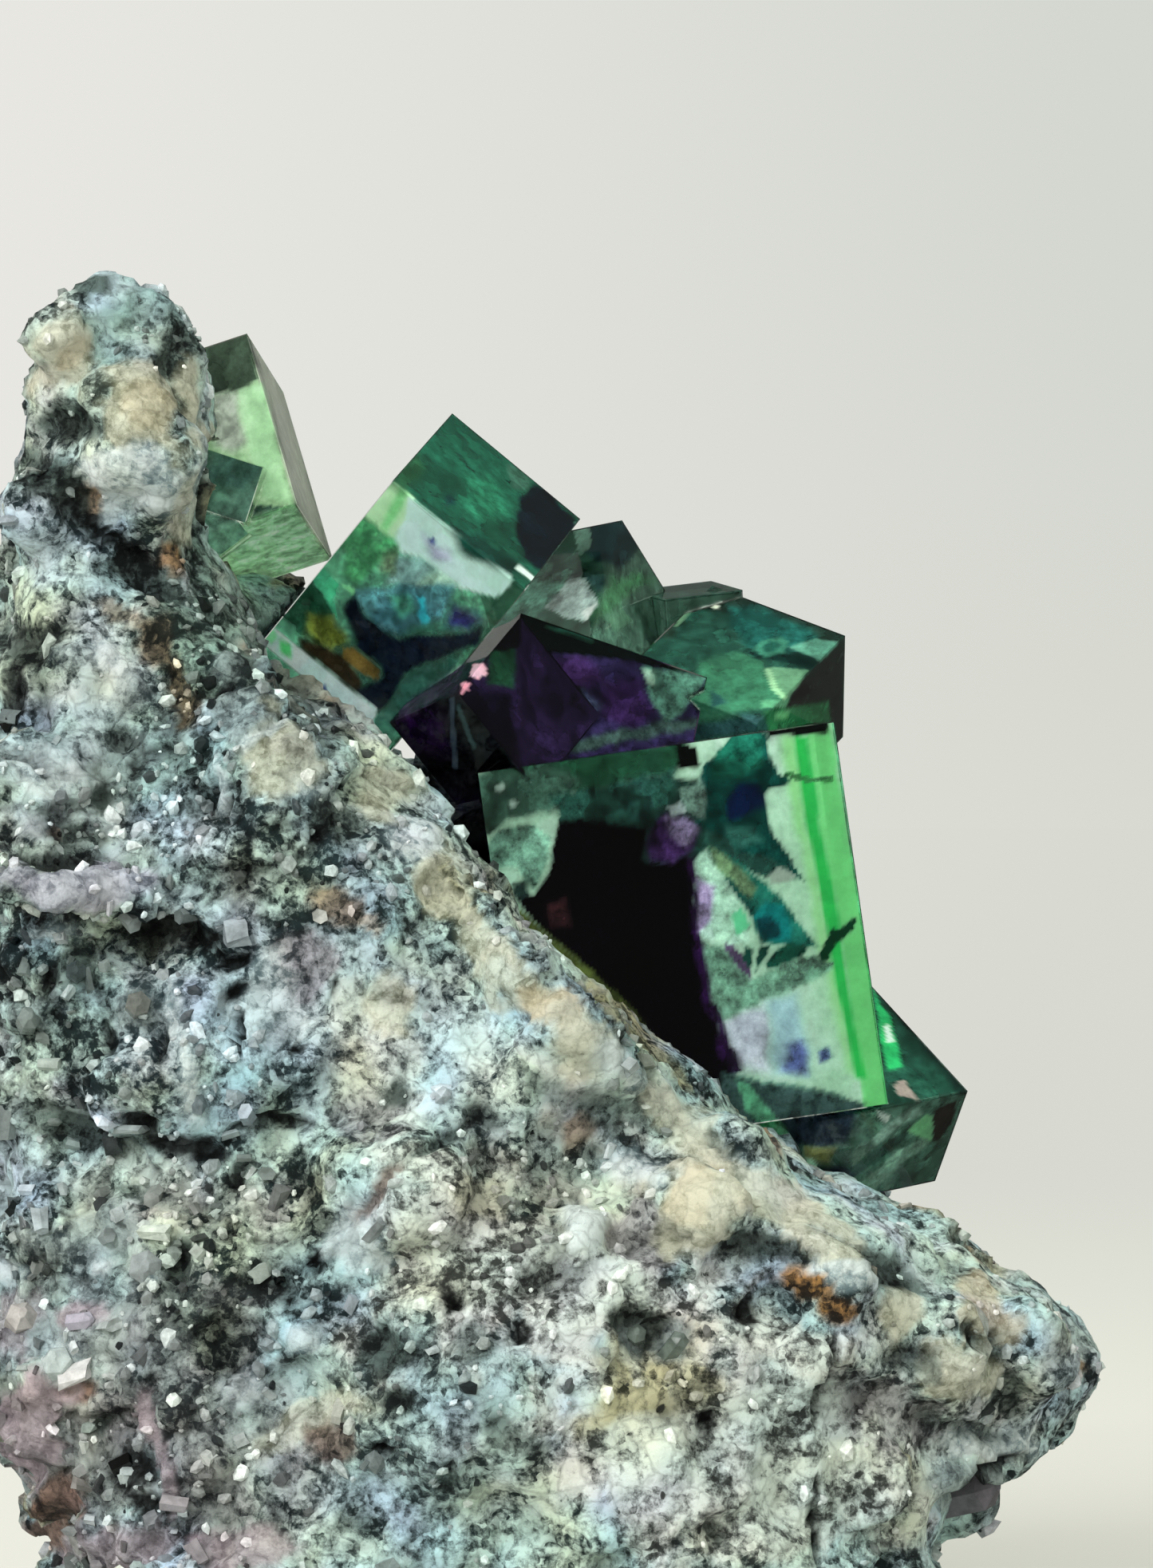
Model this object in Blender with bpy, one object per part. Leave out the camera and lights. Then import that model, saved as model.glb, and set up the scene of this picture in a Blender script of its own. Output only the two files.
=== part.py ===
"""Fluorite specimen: green and purple cubes grown on the sloping side of a lump of granular rock.

The rock stands on a flat cut. +X is to the right of the slope's foot, +Y runs back along the slope,
+Z is up, and the origin is at the middle of the specimen's footprint. Lengths are in millimetres until
the last step, which scales every mesh to metres.
"""
import math
import random

import bmesh
import bpy
from mathutils import Euler, Matrix, Vector, noise
from mathutils.bvhtree import BVHTree

MM = 0.001
GAP = 0.3

# Rock: horizontal sections from the base to the peak, as height, left, right, front, back and how
# square the right end is, where 1 is an ellipse, 0 is a box and more than 1 is a point. The right ends
# of the sections over the tip make the slope that carries the crystals.
ROCK_SECTIONS = (
    (2.0, -22.4, 21.6, -16.0, 18.0, 0.7),
    (8.0, -23.0, 22.2, -17.2, 20.0, 0.7),
    (12.0, -22.9, 20.8, -18.0, 20.6, 0.66),
    (15.5, -23.2, 20.6, -18.2, 21.0, 0.66),
    (17.0, -23.8, 20.2, -18.3, 21.0, 0.7),
    (18.2, -24.4, 23.0, -18.3, 21.0, 0.9),
    (21.0, -26.0, 26.8, -18.3, 21.5, 1.1),
    (24.6, -27.4, 28.5, -18.0, 22.0, 1.1),
    (27.0, -28.0, 27.4, -17.6, 22.3, 0.95),
    (30.0, -28.6, 23.2, -17.0, 22.6, 0.66),
    (32.4, -28.9, 19.0, -16.4, 22.8, 0.5),
    (34.4, -29.0, 14.2, -15.6, 23.0, 0.42),
    (38.4, -29.0, 9.6, -14.4, 23.0, 0.42),
    (42.1, -28.9, 5.8, -13.2, 23.0, 0.42),
    (45.7, -28.8, 1.9, -12.4, 22.8, 0.42),
    (48.6, -28.6, -1.5, -11.8, 22.4, 0.42),
    (53.2, -28.1, -5.0, -11.2, 21.6, 0.42),
    (57.0, -27.5, -8.2, -10.6, 20.4, 0.42),
    (61.6, -26.7, -13.8, -9.8, 17.0, 0.5),
    (65.6, -26.1, -15.9, -9.0, 9.0, 0.7),
    (69.0, -25.9, -15.4, -8.4, 5.5, 0.8),
    (72.2, -25.3, -15.2, -7.8, 4.4, 0.8),
    (75.0, -24.2, -15.8, -7.0, 3.4, 0.8),
    (77.2, -22.8, -17.2, -5.8, 2.2, 0.8),
    (78.4, -21.6, -18.6, -4.2, 0.8, 0.8),
)
LEFT_END = 0.8
SECTION_SIDES = 48

# Lumps on the front of the rock: across, height, half width, half height, half depth, turn in degrees.
LUMPS = (
    (-22.4, 75.2, 1.6, 1.6, 1.5, 0),
    (-19.2, 70.4, 3.0, 4.2, 1.6, 20),
    (-23.2, 67.8, 2.2, 3.0, 1.2, 0),
    (-21.1, 59.8, 0.9, 0.9, 0.9, 0),
    (-12.6, 54.6, 2.7, 2.3, 1.5, -20),
    (-22.0, 53.5, 4.6, 3.4, 1.6, 10),
    (-21.2, 48.5, 5.4, 1.1, 1.8, -4),
    (-2.4, 47.9, 1.9, 2.4, 1.5, 45),
    (-0.4, 44.4, 2.3, 2.0, 1.8, 30),
    (2.2, 41.9, 2.6, 1.7, 1.6, -20),
    (4.7, 39.8, 1.8, 1.4, 1.4, -40),
    (8.6, 33.4, 2.4, 2.8, 1.6, 20),
    (10.6, 36.0, 2.2, 1.3, 1.3, -45),
    (15.0, 31.0, 2.8, 1.6, 1.5, -35),
    (20.2, 26.8, 2.5, 2.7, 1.5, -20),
    (24.4, 26.0, 3.0, 2.6, 1.6, 0),
    (2.7, 32.0, 1.5, 1.5, 1.2, 0),
    (-6.0, 34.0, 4.4, 3.2, 1.6, -30),
    (-16.0, 38.5, 5.0, 3.6, 1.7, 15),
    (-3.5, 24.0, 5.4, 3.4, 1.6, -10),
    (14.5, 20.5, 4.6, 3.2, 1.5, 0),
    (-15.0, 15.6, 5.0, 2.0, 1.6, 8),
    (-24.0, 24.6, 2.4, 3.8, 2.4, 12),
)

# Swellings of the slope behind the ridge: middle and half sizes. The first carries the upper crystals.
MOUNDS = (
    ((-14.5, 11.5, 60.5), (6.5, 9.0, 4.6)),
    ((-9.0, 15.0, 52.0), (8.0, 7.0, 3.6)),
    ((-2.0, 19.0, 42.5), (7.0, 4.6, 3.0)),
)

# Pits and grooves on the front: across, height, half width, half height, depth, turn in degrees.
PITS = (
    (-19.6, 46.2, 6.5, 1.1, 2.0, -4),
    (-18.0, 64.0, 2.4, 1.0, 1.2, -20),
    (-23.0, 70.6, 1.8, 3.2, 0.9, 10),
    (-9.0, 51.0, 0.9, 3.0, 1.0, -50),
    (-14.3, 42.2, 0.7, 1.8, 1.2, 8),
    (-5.4, 31.0, 0.9, 3.4, 1.3, -50),
    (-1.6, 35.4, 0.8, 3.0, 1.0, -10),
    (7.0, 27.0, 2.0, 1.5, 1.6, 0),
    (12.1, 28.8, 1.3, 1.0, 1.5, 0),
    (15.2, 22.0, 0.6, 5.0, 1.0, 4),
    (-10.5, 24.5, 2.2, 1.4, 1.2, 20),
    (-19.5, 30.0, 2.4, 1.3, 1.2, 10),
    (21.4, 18.6, 1.6, 1.0, 1.6, 0),
)

# The broken stone: broad waves that run in and out, and rounded grains, each as length and height.
BROAD_WAVES = ((15.0, 3.4), (7.0, 1.5))
SKIN_WAVES = ((6.0, 0.7), (2.6, 0.45))
SKIN_GRAINS = ((4.6, 0.9), (2.4, 0.55))
BASE_HEIGHT = 7.0
ROCK_VOXEL = 0.7
ROCK_FACES = 8600

# Quartz crystals grown on the matrix: across, height, radius, turn about Y, lean forward.
QUARTZ = (
    (-19.0, 29.8, 1.15, 10, 84),
    (-23.3, 25.2, 1.15, -25, 70),
    (-22.3, 23.4, 1.00, 40, 62),
    (7.4, 26.9, 0.80, 30, 70),
    (8.6, 26.2, 0.75, -20, 64),
    (22.0, 18.2, 1.90, 74, 50),
)
# The druse at the lower left: how many more, between which places, and their radii.
DRUSE_COUNT = 20
DRUSE_ACROSS = (-24.5, -6.0)
DRUSE_HEIGHT = (13.0, 33.0)
DRUSE_RADIUS = (0.6, 1.1)
DRUSE_SEED = 11

# Fluorite crystals: centre, edge lengths and turn about X, Y and Z in degrees.
CLUSTER = {
    "great_cube": ((7.6, 8.0, 46.1), (18.1, 19.4, 16.8), (90.4, 171.9, 2.5)),
    "left_cube": ((-5.8, 7.4, 63.75), (8.6, 13.2, 12.0), (-63.9, 39.4, 3.0)),
    "purple_cube": ((1.1, 9.0, 54.4), (10.5, 13.1, 10.5), (-16.5, 17.8, 17.5)),
    "upper_cube": ((10.8, 10.7, 58.0), (8.1, 6.7, 8.7), (55.5, -160.5, -27.0)),
    "foot_cube": ((15.7, 7.8, 37.8), (9.0, 6.0, 9.4), (-99.2, -35.6, 129.8)),
    "small_cube": ((2.6, 11.6, 61.7), (6.8, 6.8, 8.5), (41.9, 171.1, -26.8)),
    "wedge_cube": ((-1.5, 2.8, 57.2), (6.4, 6.6, 5.6), (-108.9, -37.4, 52.1)),
    "saddle_cube": ((8.6, 14.0, 61.9), (4.4, 4.4, 4.4), (8.0, -7.0, 20.0)),
    "rear_cube_high": ((10.1, 18.0, 53.6), (5.2, 5.2, 6.0), (90.0, -145.0, 0.0)),
    "rear_cube_low": ((10.5, 18.5, 48.6), (6.0, 6.0, 6.0), (90.0, -138.0, 0.0)),
}
UPPER = {
    "pale_cube": ((-16.6, 8.8, 69.8), (9.6, 9.4, 10.0), (-127.8, 67.1, -43.8)),
    "dark_cube": ((-15.2, 1.3, 68.9), (3.6, 3.0, 3.6), (90.0, -162.0, 0.0)),
    "dark_cube_low": ((-15.9, 1.6, 66.7), (3.0, 3.0, 3.2), (90.0, -128.0, 0.0)),
}


def clear_scene():
    for obj in list(bpy.data.objects):
        bpy.data.objects.remove(obj, do_unlink=True)


def linear(hex_colour):
    """A colour written as sRGB hex, as linear red, green, blue and alpha."""
    parts = [int(hex_colour[i:i + 2], 16) / 255 for i in (1, 3, 5)]
    return [c / 12.92 if c <= 0.04045 else ((c + 0.055) / 1.055) ** 2.4 for c in parts] + [1.0]


def make_material(name, hex_colour, roughness, metallic=0.0, transmission=0.0, ior=1.5):
    material = bpy.data.materials.new(name)
    material.use_nodes = True
    shader = material.node_tree.nodes["Principled BSDF"]
    shader.inputs["Base Color"].default_value = linear(hex_colour)
    shader.inputs["Roughness"].default_value = roughness
    shader.inputs["Metallic"].default_value = metallic
    shader.inputs["Transmission Weight"].default_value = transmission
    shader.inputs["IOR"].default_value = ior
    material.diffuse_color = linear(hex_colour)
    return material


def add_object(name, mesh):
    obj = bpy.data.objects.new(name, mesh)
    bpy.context.scene.collection.objects.link(obj)
    return obj


def object_from(bm, name):
    mesh = bpy.data.meshes.new(name)
    bm.to_mesh(mesh)
    bm.free()
    return add_object(name, mesh)


def settle(obj):
    """Swap the object's mesh for the one its modifiers make, and drop the modifiers."""
    graph = bpy.context.evaluated_depsgraph_get()
    mesh = bpy.data.meshes.new_from_object(obj.evaluated_get(graph))
    obj.modifiers.clear()
    obj.data = mesh


def boolean(obj, other, operation):
    """Join the other shape to the object, or cut it out, and take the other away."""
    modifier = obj.modifiers.new(operation.lower(), "BOOLEAN")
    modifier.operation = operation
    modifier.solver = "EXACT"
    modifier.object = other
    settle(obj)
    bpy.data.objects.remove(other, do_unlink=True)


def make_box(name, centre, size, turn, grow=0.0):
    bm = bmesh.new()
    bmesh.ops.create_cube(bm, size=1.0)
    scale = Matrix.Diagonal(Vector(size) + Vector((grow, grow, grow)) * 2).to_4x4()
    spin = Euler([math.radians(a) for a in turn], "XYZ").to_matrix().to_4x4()
    bmesh.ops.transform(bm, matrix=Matrix.Translation(centre) @ spin @ scale, verts=bm.verts)
    return object_from(bm, name)


def make_group(name, crystals, grow=0.0):
    """Boxes of one crystal group joined in one solid."""
    group = None
    for label, (centre, size, turn) in crystals.items():
        box = make_box(label, centre, size, turn, grow)
        if group is None:
            group = box
            group.name = name
        else:
            boolean(group, box, "UNION")
    keep_largest(group)
    return group


def section_points(height, left, right, front, back, right_end):
    """One closed section, round at the left and more or less square at the right."""
    middle_x, half_x = (left + right) / 2, (right - left) / 2
    middle_y, half_y = (front + back) / 2, (back - front) / 2
    for i in range(SECTION_SIDES):
        angle = math.tau * i / SECTION_SIDES
        across, deep = math.cos(angle), math.sin(angle)
        power = right_end if across > 0 else LEFT_END
        x = middle_x + half_x * math.copysign(abs(across) ** power, across)
        y = middle_y + half_y * math.copysign(abs(deep) ** power, deep)
        yield Vector((x, y, height))


def make_rock_body():
    bm = bmesh.new()
    rings = [[bm.verts.new(p) for p in section_points(*s)] for s in ROCK_SECTIONS]
    for low, high in zip(rings, rings[1:]):
        for i in range(SECTION_SIDES):
            j = (i + 1) % SECTION_SIDES
            bm.faces.new((low[i], low[j], high[j], high[i]))
    bm.faces.new(list(reversed(rings[0])))
    bm.faces.new(rings[-1])
    bmesh.ops.recalc_face_normals(bm, faces=bm.faces)
    return bm


def front_finder(bm):
    """A function that gives the point and normal of the front face at a place across and a height."""
    tree = BVHTree.FromBMesh(bm)

    def find(x, z):
        point, normal, _, _ = tree.ray_cast(Vector((x, -60.0, z)), Vector((0, 1, 0)))
        return (point, normal) if point else (Vector((x, 0.0, z)), Vector((0, -1, 0)))
    return find


def add_lumps(bm):
    find = front_finder(bm)
    for x, z, half_x, half_z, half_y, turn in LUMPS:
        point, _ = find(x, z)
        shape = Matrix.Diagonal((half_x, half_y, half_z)).to_4x4()
        place = Matrix.Translation(point) @ Matrix.Rotation(math.radians(-turn), 4, "Y")
        bmesh.ops.create_icosphere(bm, subdivisions=3, radius=1.0, matrix=place @ shape)
    for middle, half in MOUNDS:
        place = Matrix.Translation(middle) @ Matrix.Diagonal(half).to_4x4()
        bmesh.ops.create_icosphere(bm, subdivisions=4, radius=1.0, matrix=place)


def wave(spot, waves, offset):
    return sum(height * noise.noise(spot / length + offset) for length, height in waves)


def grains(spot):
    """Rounded bumps that meet in creases."""
    total = 0.0
    for length, height in SKIN_GRAINS:
        distances, _ = noise.voronoi(spot / length)
        total += height * (0.35 - distances[0] ** 2)
    return total


def roughen(obj):
    """Push the skin in and out as broken stone is, deeper in the pits.

    The broad waves only run along Y, so they leave the outline seen from the front as it is.
    """
    bm = bmesh.new()
    bm.from_mesh(obj.data)
    bm.normal_update()
    find = front_finder(bm)
    moves = []
    for vert in bm.verts:
        skin = wave(vert.co, SKIN_WAVES, Vector((2.1, 7.3, 5.7))) + grains(vert.co)
        broad = wave(vert.co, BROAD_WAVES, Vector((8.4, 1.9, 3.3)))
        moves.append(vert.normal * skin + Vector((0, broad, 0)))
    for x, z, half_x, half_z, depth, turn in PITS:
        point, normal = find(x, z)
        spin = Matrix.Rotation(math.radians(turn), 3, "Y")
        reach = max(half_x, half_z) * 1.6 + 2.0
        for vert, move in zip(bm.verts, moves):
            away = vert.co - point
            if away.length > reach:
                continue
            local = spin @ away
            far = (local.x / half_x) ** 2 + (local.z / half_z) ** 2
            move += -vert.normal * depth * math.exp(-far)
    for vert, move in zip(bm.verts, moves):
        vert.co += move
    bm.to_mesh(obj.data)
    bm.free()


def keep_largest(obj):
    """Drop chips that a cut has left loose."""
    bm = bmesh.new()
    bm.from_mesh(obj.data)
    left = set(bm.verts)
    islands = []
    while left:
        front = [left.pop()]
        island = list(front)
        while front:
            vert = front.pop()
            for edge in vert.link_edges:
                other = edge.other_vert(vert)
                if other in left:
                    left.discard(other)
                    island.append(other)
                    front.append(other)
        islands.append(island)
    islands.sort(key=len, reverse=True)
    for island in islands[1:]:
        bmesh.ops.delete(bm, geom=island, context="VERTS")
    bm.to_mesh(obj.data)
    bm.free()


def cut_base(obj):
    """The flat cut that the rock stands on."""
    bm = bmesh.new()
    bm.from_mesh(obj.data)
    geometry = bm.verts[:] + bm.edges[:] + bm.faces[:]
    cut = bmesh.ops.bisect_plane(
        bm, geom=geometry, dist=1e-5, plane_co=(0, 0, BASE_HEIGHT), plane_no=(0, 0, 1), clear_inner=True)
    rim = [g for g in cut["geom_cut"] if isinstance(g, bmesh.types.BMEdge)]
    bmesh.ops.triangle_fill(bm, edges=rim, use_beauty=True, use_dissolve=True)
    bmesh.ops.recalc_face_normals(bm, faces=bm.faces)
    bm.to_mesh(obj.data)
    bm.free()


def make_quartz(name, point, radius, turn, lean):
    """A six-sided prism with a pointed end, its foot sunk in the rock."""
    bm = bmesh.new()
    foot, shoulder, tip = -2.0 * radius, 0.35 * radius, 1.0 * radius
    rings = []
    for height in (foot, shoulder):
        angles = [math.tau * (i + 0.5) / 6 for i in range(6)]
        rings.append([bm.verts.new((radius * math.cos(a), radius * math.sin(a), height)) for a in angles])
    top = bm.verts.new((0, 0, tip))
    for i in range(6):
        j = (i + 1) % 6
        bm.faces.new((rings[0][i], rings[0][j], rings[1][j], rings[1][i]))
        bm.faces.new((rings[1][i], rings[1][j], top))
    bm.faces.new(list(reversed(rings[0])))
    spin = Matrix.Rotation(math.radians(turn), 4, "Y") @ Matrix.Rotation(math.radians(lean), 4, "X")
    bmesh.ops.transform(bm, matrix=Matrix.Translation(point) @ spin, verts=bm.verts)
    return object_from(bm, name)


def quartz_places():
    """The named quartz crystals, and those of the druse."""
    yield from QUARTZ
    draw = random.Random(DRUSE_SEED)
    for _ in range(DRUSE_COUNT):
        x, z = draw.uniform(*DRUSE_ACROSS), draw.uniform(*DRUSE_HEIGHT)
        yield x, z, draw.uniform(*DRUSE_RADIUS), draw.uniform(-60, 60), draw.uniform(50, 85)


def make_matrix():
    bm = make_rock_body()
    add_lumps(bm)
    rock = object_from(bm, "matrix")
    remesh = rock.modifiers.new("voxels", "REMESH")
    remesh.mode = "VOXEL"
    remesh.voxel_size = ROCK_VOXEL
    settle(rock)
    roughen(rock)
    thin = rock.modifiers.new("fewer_faces", "DECIMATE")
    thin.ratio = ROCK_FACES / (2 * len(rock.data.polygons))
    settle(rock)
    bm = bmesh.new()
    bm.from_mesh(rock.data)
    find = front_finder(bm)
    spots = [(find(x, z)[0], *rest) for x, z, *rest in quartz_places()]
    bm.free()
    for number, (point, radius, turn, lean) in enumerate(spots):
        boolean(rock, make_quartz(f"quartz_{number}", point, radius, turn, lean), "UNION")
    boolean(rock, make_group("cluster_socket", CLUSTER, GAP), "DIFFERENCE")
    boolean(rock, make_group("upper_socket", UPPER, GAP), "DIFFERENCE")
    cut_base(rock)
    keep_largest(rock)
    return rock


def finish(obj, material, sharp_angle):
    """To metres, with the object's material and its shading."""
    obj.data.transform(Matrix.Diagonal((MM, MM, MM)).to_4x4())
    obj.data.materials.clear()
    obj.data.materials.append(material)
    obj.data.shade_smooth()
    obj.data.set_sharp_from_angle(angle=math.radians(sharp_angle))


def centre_footprint(objects):
    """Put the middle of the whole box over the origin, with the base at height 0."""
    corners = [v.co for obj in objects for v in obj.data.vertices]
    low = Vector([min(c[i] for c in corners) for i in range(3)])
    high = Vector([max(c[i] for c in corners) for i in range(3)])
    shift = Vector((-(low.x + high.x) / 2, -(low.y + high.y) / 2, -low.z))
    for obj in objects:
        obj.data.transform(Matrix.Translation(shift))


def main():
    clear_scene()
    stone = make_material("granular_stone", "#A3A99F", 0.85)
    green = make_material("green_fluorite", "#2F8F62", 0.05, transmission=1.0, ior=1.433)
    pale = make_material("pale_green_fluorite", "#A9DDB0", 0.05, transmission=1.0, ior=1.433)
    matrix = make_matrix()
    cluster = make_group("fluorite_cluster", CLUSTER)
    upper = make_group("fluorite_upper", UPPER)
    finish(matrix, stone, 40)
    finish(cluster, green, 10)
    finish(upper, pale, 10)
    centre_footprint((matrix, cluster, upper))


main()
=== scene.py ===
import math
from itertools import product

import bpy
import numpy as np
from mathutils import Euler, Matrix, Vector


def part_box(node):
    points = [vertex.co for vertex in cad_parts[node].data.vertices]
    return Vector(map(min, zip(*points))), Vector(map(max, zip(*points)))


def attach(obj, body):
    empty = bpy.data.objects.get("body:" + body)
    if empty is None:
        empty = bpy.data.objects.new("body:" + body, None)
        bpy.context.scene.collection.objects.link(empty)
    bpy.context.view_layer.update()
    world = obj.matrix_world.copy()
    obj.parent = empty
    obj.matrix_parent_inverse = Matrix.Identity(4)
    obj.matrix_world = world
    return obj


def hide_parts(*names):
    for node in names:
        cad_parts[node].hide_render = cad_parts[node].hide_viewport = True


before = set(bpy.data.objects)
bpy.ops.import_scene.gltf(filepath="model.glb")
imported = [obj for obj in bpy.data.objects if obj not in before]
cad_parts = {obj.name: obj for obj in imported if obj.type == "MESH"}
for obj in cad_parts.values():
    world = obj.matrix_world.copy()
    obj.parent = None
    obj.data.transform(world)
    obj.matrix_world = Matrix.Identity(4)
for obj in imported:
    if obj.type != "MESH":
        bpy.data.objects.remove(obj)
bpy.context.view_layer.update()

# Lengths are in millimetres in the specimen's drawing frame: X to the right, Y away from the eye, Z up.
# The flat cut that it rests on is at the base height there.
MM = 0.001
BASE_HEIGHT = 7.0

# The photograph: its size in pixels, what a pixel spans in the plane through the origin, the eye that
# looks along Y, and the height of the camera's sensor.
PHOTO_WIDTH, PHOTO_HEIGHT = 1445, 1965
MM_PER_PIXEL = 0.04
EYE = Vector((2.62, -300.0, 53.9))
SENSOR = 36.0

# Fluorite crystals: centre, edge lengths and turn about X, Y and Z in degrees.
CRYSTALS = {
    "great": ((7.6, 8.0, 46.1), (18.1, 19.4, 16.8), (90.4, 171.9, 2.5)),
    "left": ((-5.8, 7.4, 63.75), (8.6, 13.2, 12.0), (-63.9, 39.4, 3.0)),
    "purple": ((1.1, 9.0, 54.4), (10.5, 13.1, 10.5), (-16.5, 17.8, 17.5)),
    "upper": ((10.8, 10.7, 58.0), (8.1, 6.7, 8.7), (55.5, -160.5, -27.0)),
    "foot": ((15.7, 7.8, 37.8), (9.0, 6.0, 9.4), (-99.2, -35.6, 129.8)),
    "small": ((2.6, 11.6, 61.7), (6.8, 6.8, 8.5), (41.9, 171.1, -26.8)),
    "wedge": ((-1.5, 2.8, 57.2), (6.4, 6.6, 5.6), (-108.9, -37.4, 52.1)),
    "saddle": ((8.6, 14.0, 61.9), (4.4, 4.4, 4.4), (8.0, -7.0, 20.0)),
    "rear_high": ((10.1, 18.0, 53.6), (5.2, 5.2, 6.0), (90.0, -145.0, 0.0)),
    "rear_low": ((10.5, 18.5, 48.6), (6.0, 6.0, 6.0), (90.0, -138.0, 0.0)),
    "pale": ((-16.6, 8.8, 69.8), (9.6, 9.4, 10.0), (-127.8, 67.1, -43.8)),
    "dark": ((-15.2, 1.3, 68.9), (3.6, 3.0, 3.6), (90.0, -162.0, 0.0)),
    "dark_low": ((-15.9, 1.6, 66.7), (3.0, 3.0, 3.2), (90.0, -128.0, 0.0)),
}
# The crystals of the upper node. All others belong to the cluster.
PALE_GROUP = ("pale", "dark", "dark_low")
# The fluorite of the row's nodes: node, name, the tint of its light and how fast that deepens.
FLUORITE = (
    ("fluorite_cluster", "green_fluorite", "#B9E6CB", 12.0),
    ("fluorite_upper", "pale_green_fluorite", "#A9E2A6", 30.0),
)
FLUORITE_IOR = 1.433
QUARTZ_IOR = 1.544

# Colours of the growth zones inside the crystals: tint and how fast it deepens.
ZONE_COLOURS = {
    "green_phantom": ("#3FC86A", 90.0),
    "purple_core": ("#B03CD0", 1200.0),
    "navy_core": ("#3F62A0", 300.0),
}
# Growth zones: name, crystal, two corners in millimetres from the crystal's middle along its edges,
# colour, cuts across each face, and how far its faces wander in millimetres.
ZONES = (
    ("great_stripe", "great", (-7.5, -9.6, -8.3), (-6.8, 9.6, 8.0), "green_phantom", 0, 0.0),
    ("great_core", "great", (-0.6, -5.8, -7.0), (8.8, 9.4, 7.2), "purple_core", 12, 0.7),
    ("left_core", "left", (-1.0, -0.5, -3.6), (3.9, 5.8, 4.4), "navy_core", 6, 0.6),
    ("purple_heart", "purple", (-4.6, -5.6, -4.6), (4.0, 6.2, 4.4), "purple_core", 6, 0.5),
    ("wedge_heart", "wedge", (-2.5, -2.6, -2.5), (2.6, 2.8, 2.6), "purple_core", 4, 0.3),
)
# Size in millimetres of the waves in their faces.
ZONE_WANDER = 2.2

# Veils just below the faces that the photograph shows: crystal, face, the colour that the eye sees,
# how milky the veil is, and how uneven.
# Besides each crystal's own colour, these colours hold painted light: each face has its own painted shade,
# and the top faces are darkened as painted reflection of darker surroundings.
VEILS = (
    ("great", "+Z", "#CCF6DC", 0.66, 0.2),
    ("left", "-Z", "#5B9C80", 0.30, 0.5),
    ("left", "-Y", "#256B55", 0.80, 0.5),
    ("purple", "-Y", "#2A2448", 0.84, 0.9),
    ("purple", "-X", "#1C1A34", 0.82, 0.7),
    ("purple", "-Z", "#1A1230", 0.60, 0.4),
    ("upper", "-Y", "#2C5E50", 0.75, 0.6),
    ("upper", "+Z", "#3A6A58", 0.75, 0.6),
    ("upper", "-X", "#1E2723", 0.85, 0.6),
    ("foot", "-Y", "#2B6050", 0.75, 0.6),
    ("foot", "+Z", "#5E8C7C", 0.70, 0.7),
    ("foot", "-X", "#5A8474", 0.70, 0.7),
    ("small", "-Y", "#35584A", 0.70, 0.6),
    ("small", "-X", "#5C8070", 0.65, 0.7),
    ("small", "+Z", "#3C6252", 0.70, 0.6),
    ("wedge", "-Z", "#221836", 0.82, 0.8),
    ("wedge", "-X", "#1C142C", 0.80, 0.8),
    ("wedge", "-Y", "#1A1624", 0.80, 0.4),
    ("saddle", "-Y", "#3C5E50", 0.75, 0.6),
    ("saddle", "-X", "#5C8474", 0.70, 0.6),
    ("saddle", "+Z", "#2C4A40", 0.85, 0.5),
    ("pale", "-Z", "#C0E4BC", 0.60, 0.4),
    ("pale", "+X", "#B4DCB8", 0.40, 0.5),
    ("pale", "-Y", "#C4C6BE", 0.70, 0.4),
    ("dark", "+Z", "#648C7E", 0.75, 0.6),
    ("dark_low", "+Z", "#6A9284", 0.70, 0.7),
)
# Veils below faces that the photograph doesn't show: crystal, face, colour, how milky, how uneven.
HIDDEN_VEILS = (
    ("great", "-X", "#5CA882", 0.40, 0.8),
    ("rear_high", "-X", "#3E7C62", 0.60, 0.8),
    ("rear_high", "+X", "#3E7C62", 0.60, 0.8),
    ("rear_high", "+Y", "#2C5E4C", 0.60, 0.8),
    ("rear_high", "-Y", "#2C5E4C", 0.60, 0.8),
    ("rear_low", "-X", "#47886C", 0.60, 0.8),
    ("rear_low", "+X", "#47886C", 0.60, 0.8),
    ("rear_low", "+Y", "#2C5E4C", 0.60, 0.8),
    ("rear_low", "-Y", "#2C5E4C", 0.60, 0.8),
)
# A veil in millimetres: its cells, its depth below the face, its margin to the edges, its thickness.
VEIL_CELL = 0.16
VEIL_DEPTH = 0.10
VEIL_MARGIN = 0.05
VEIL_THICKNESS = 0.05
# Also in millimetres: its blots, its angular shards, and the waves in the rims of its marks.
VEIL_BLOT = 2.2
VEIL_SHARD = 0.8
RIM_WAVE = 1.4
# Light that comes through a crystal.
THROUGH_LIGHT = 0.85
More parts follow.
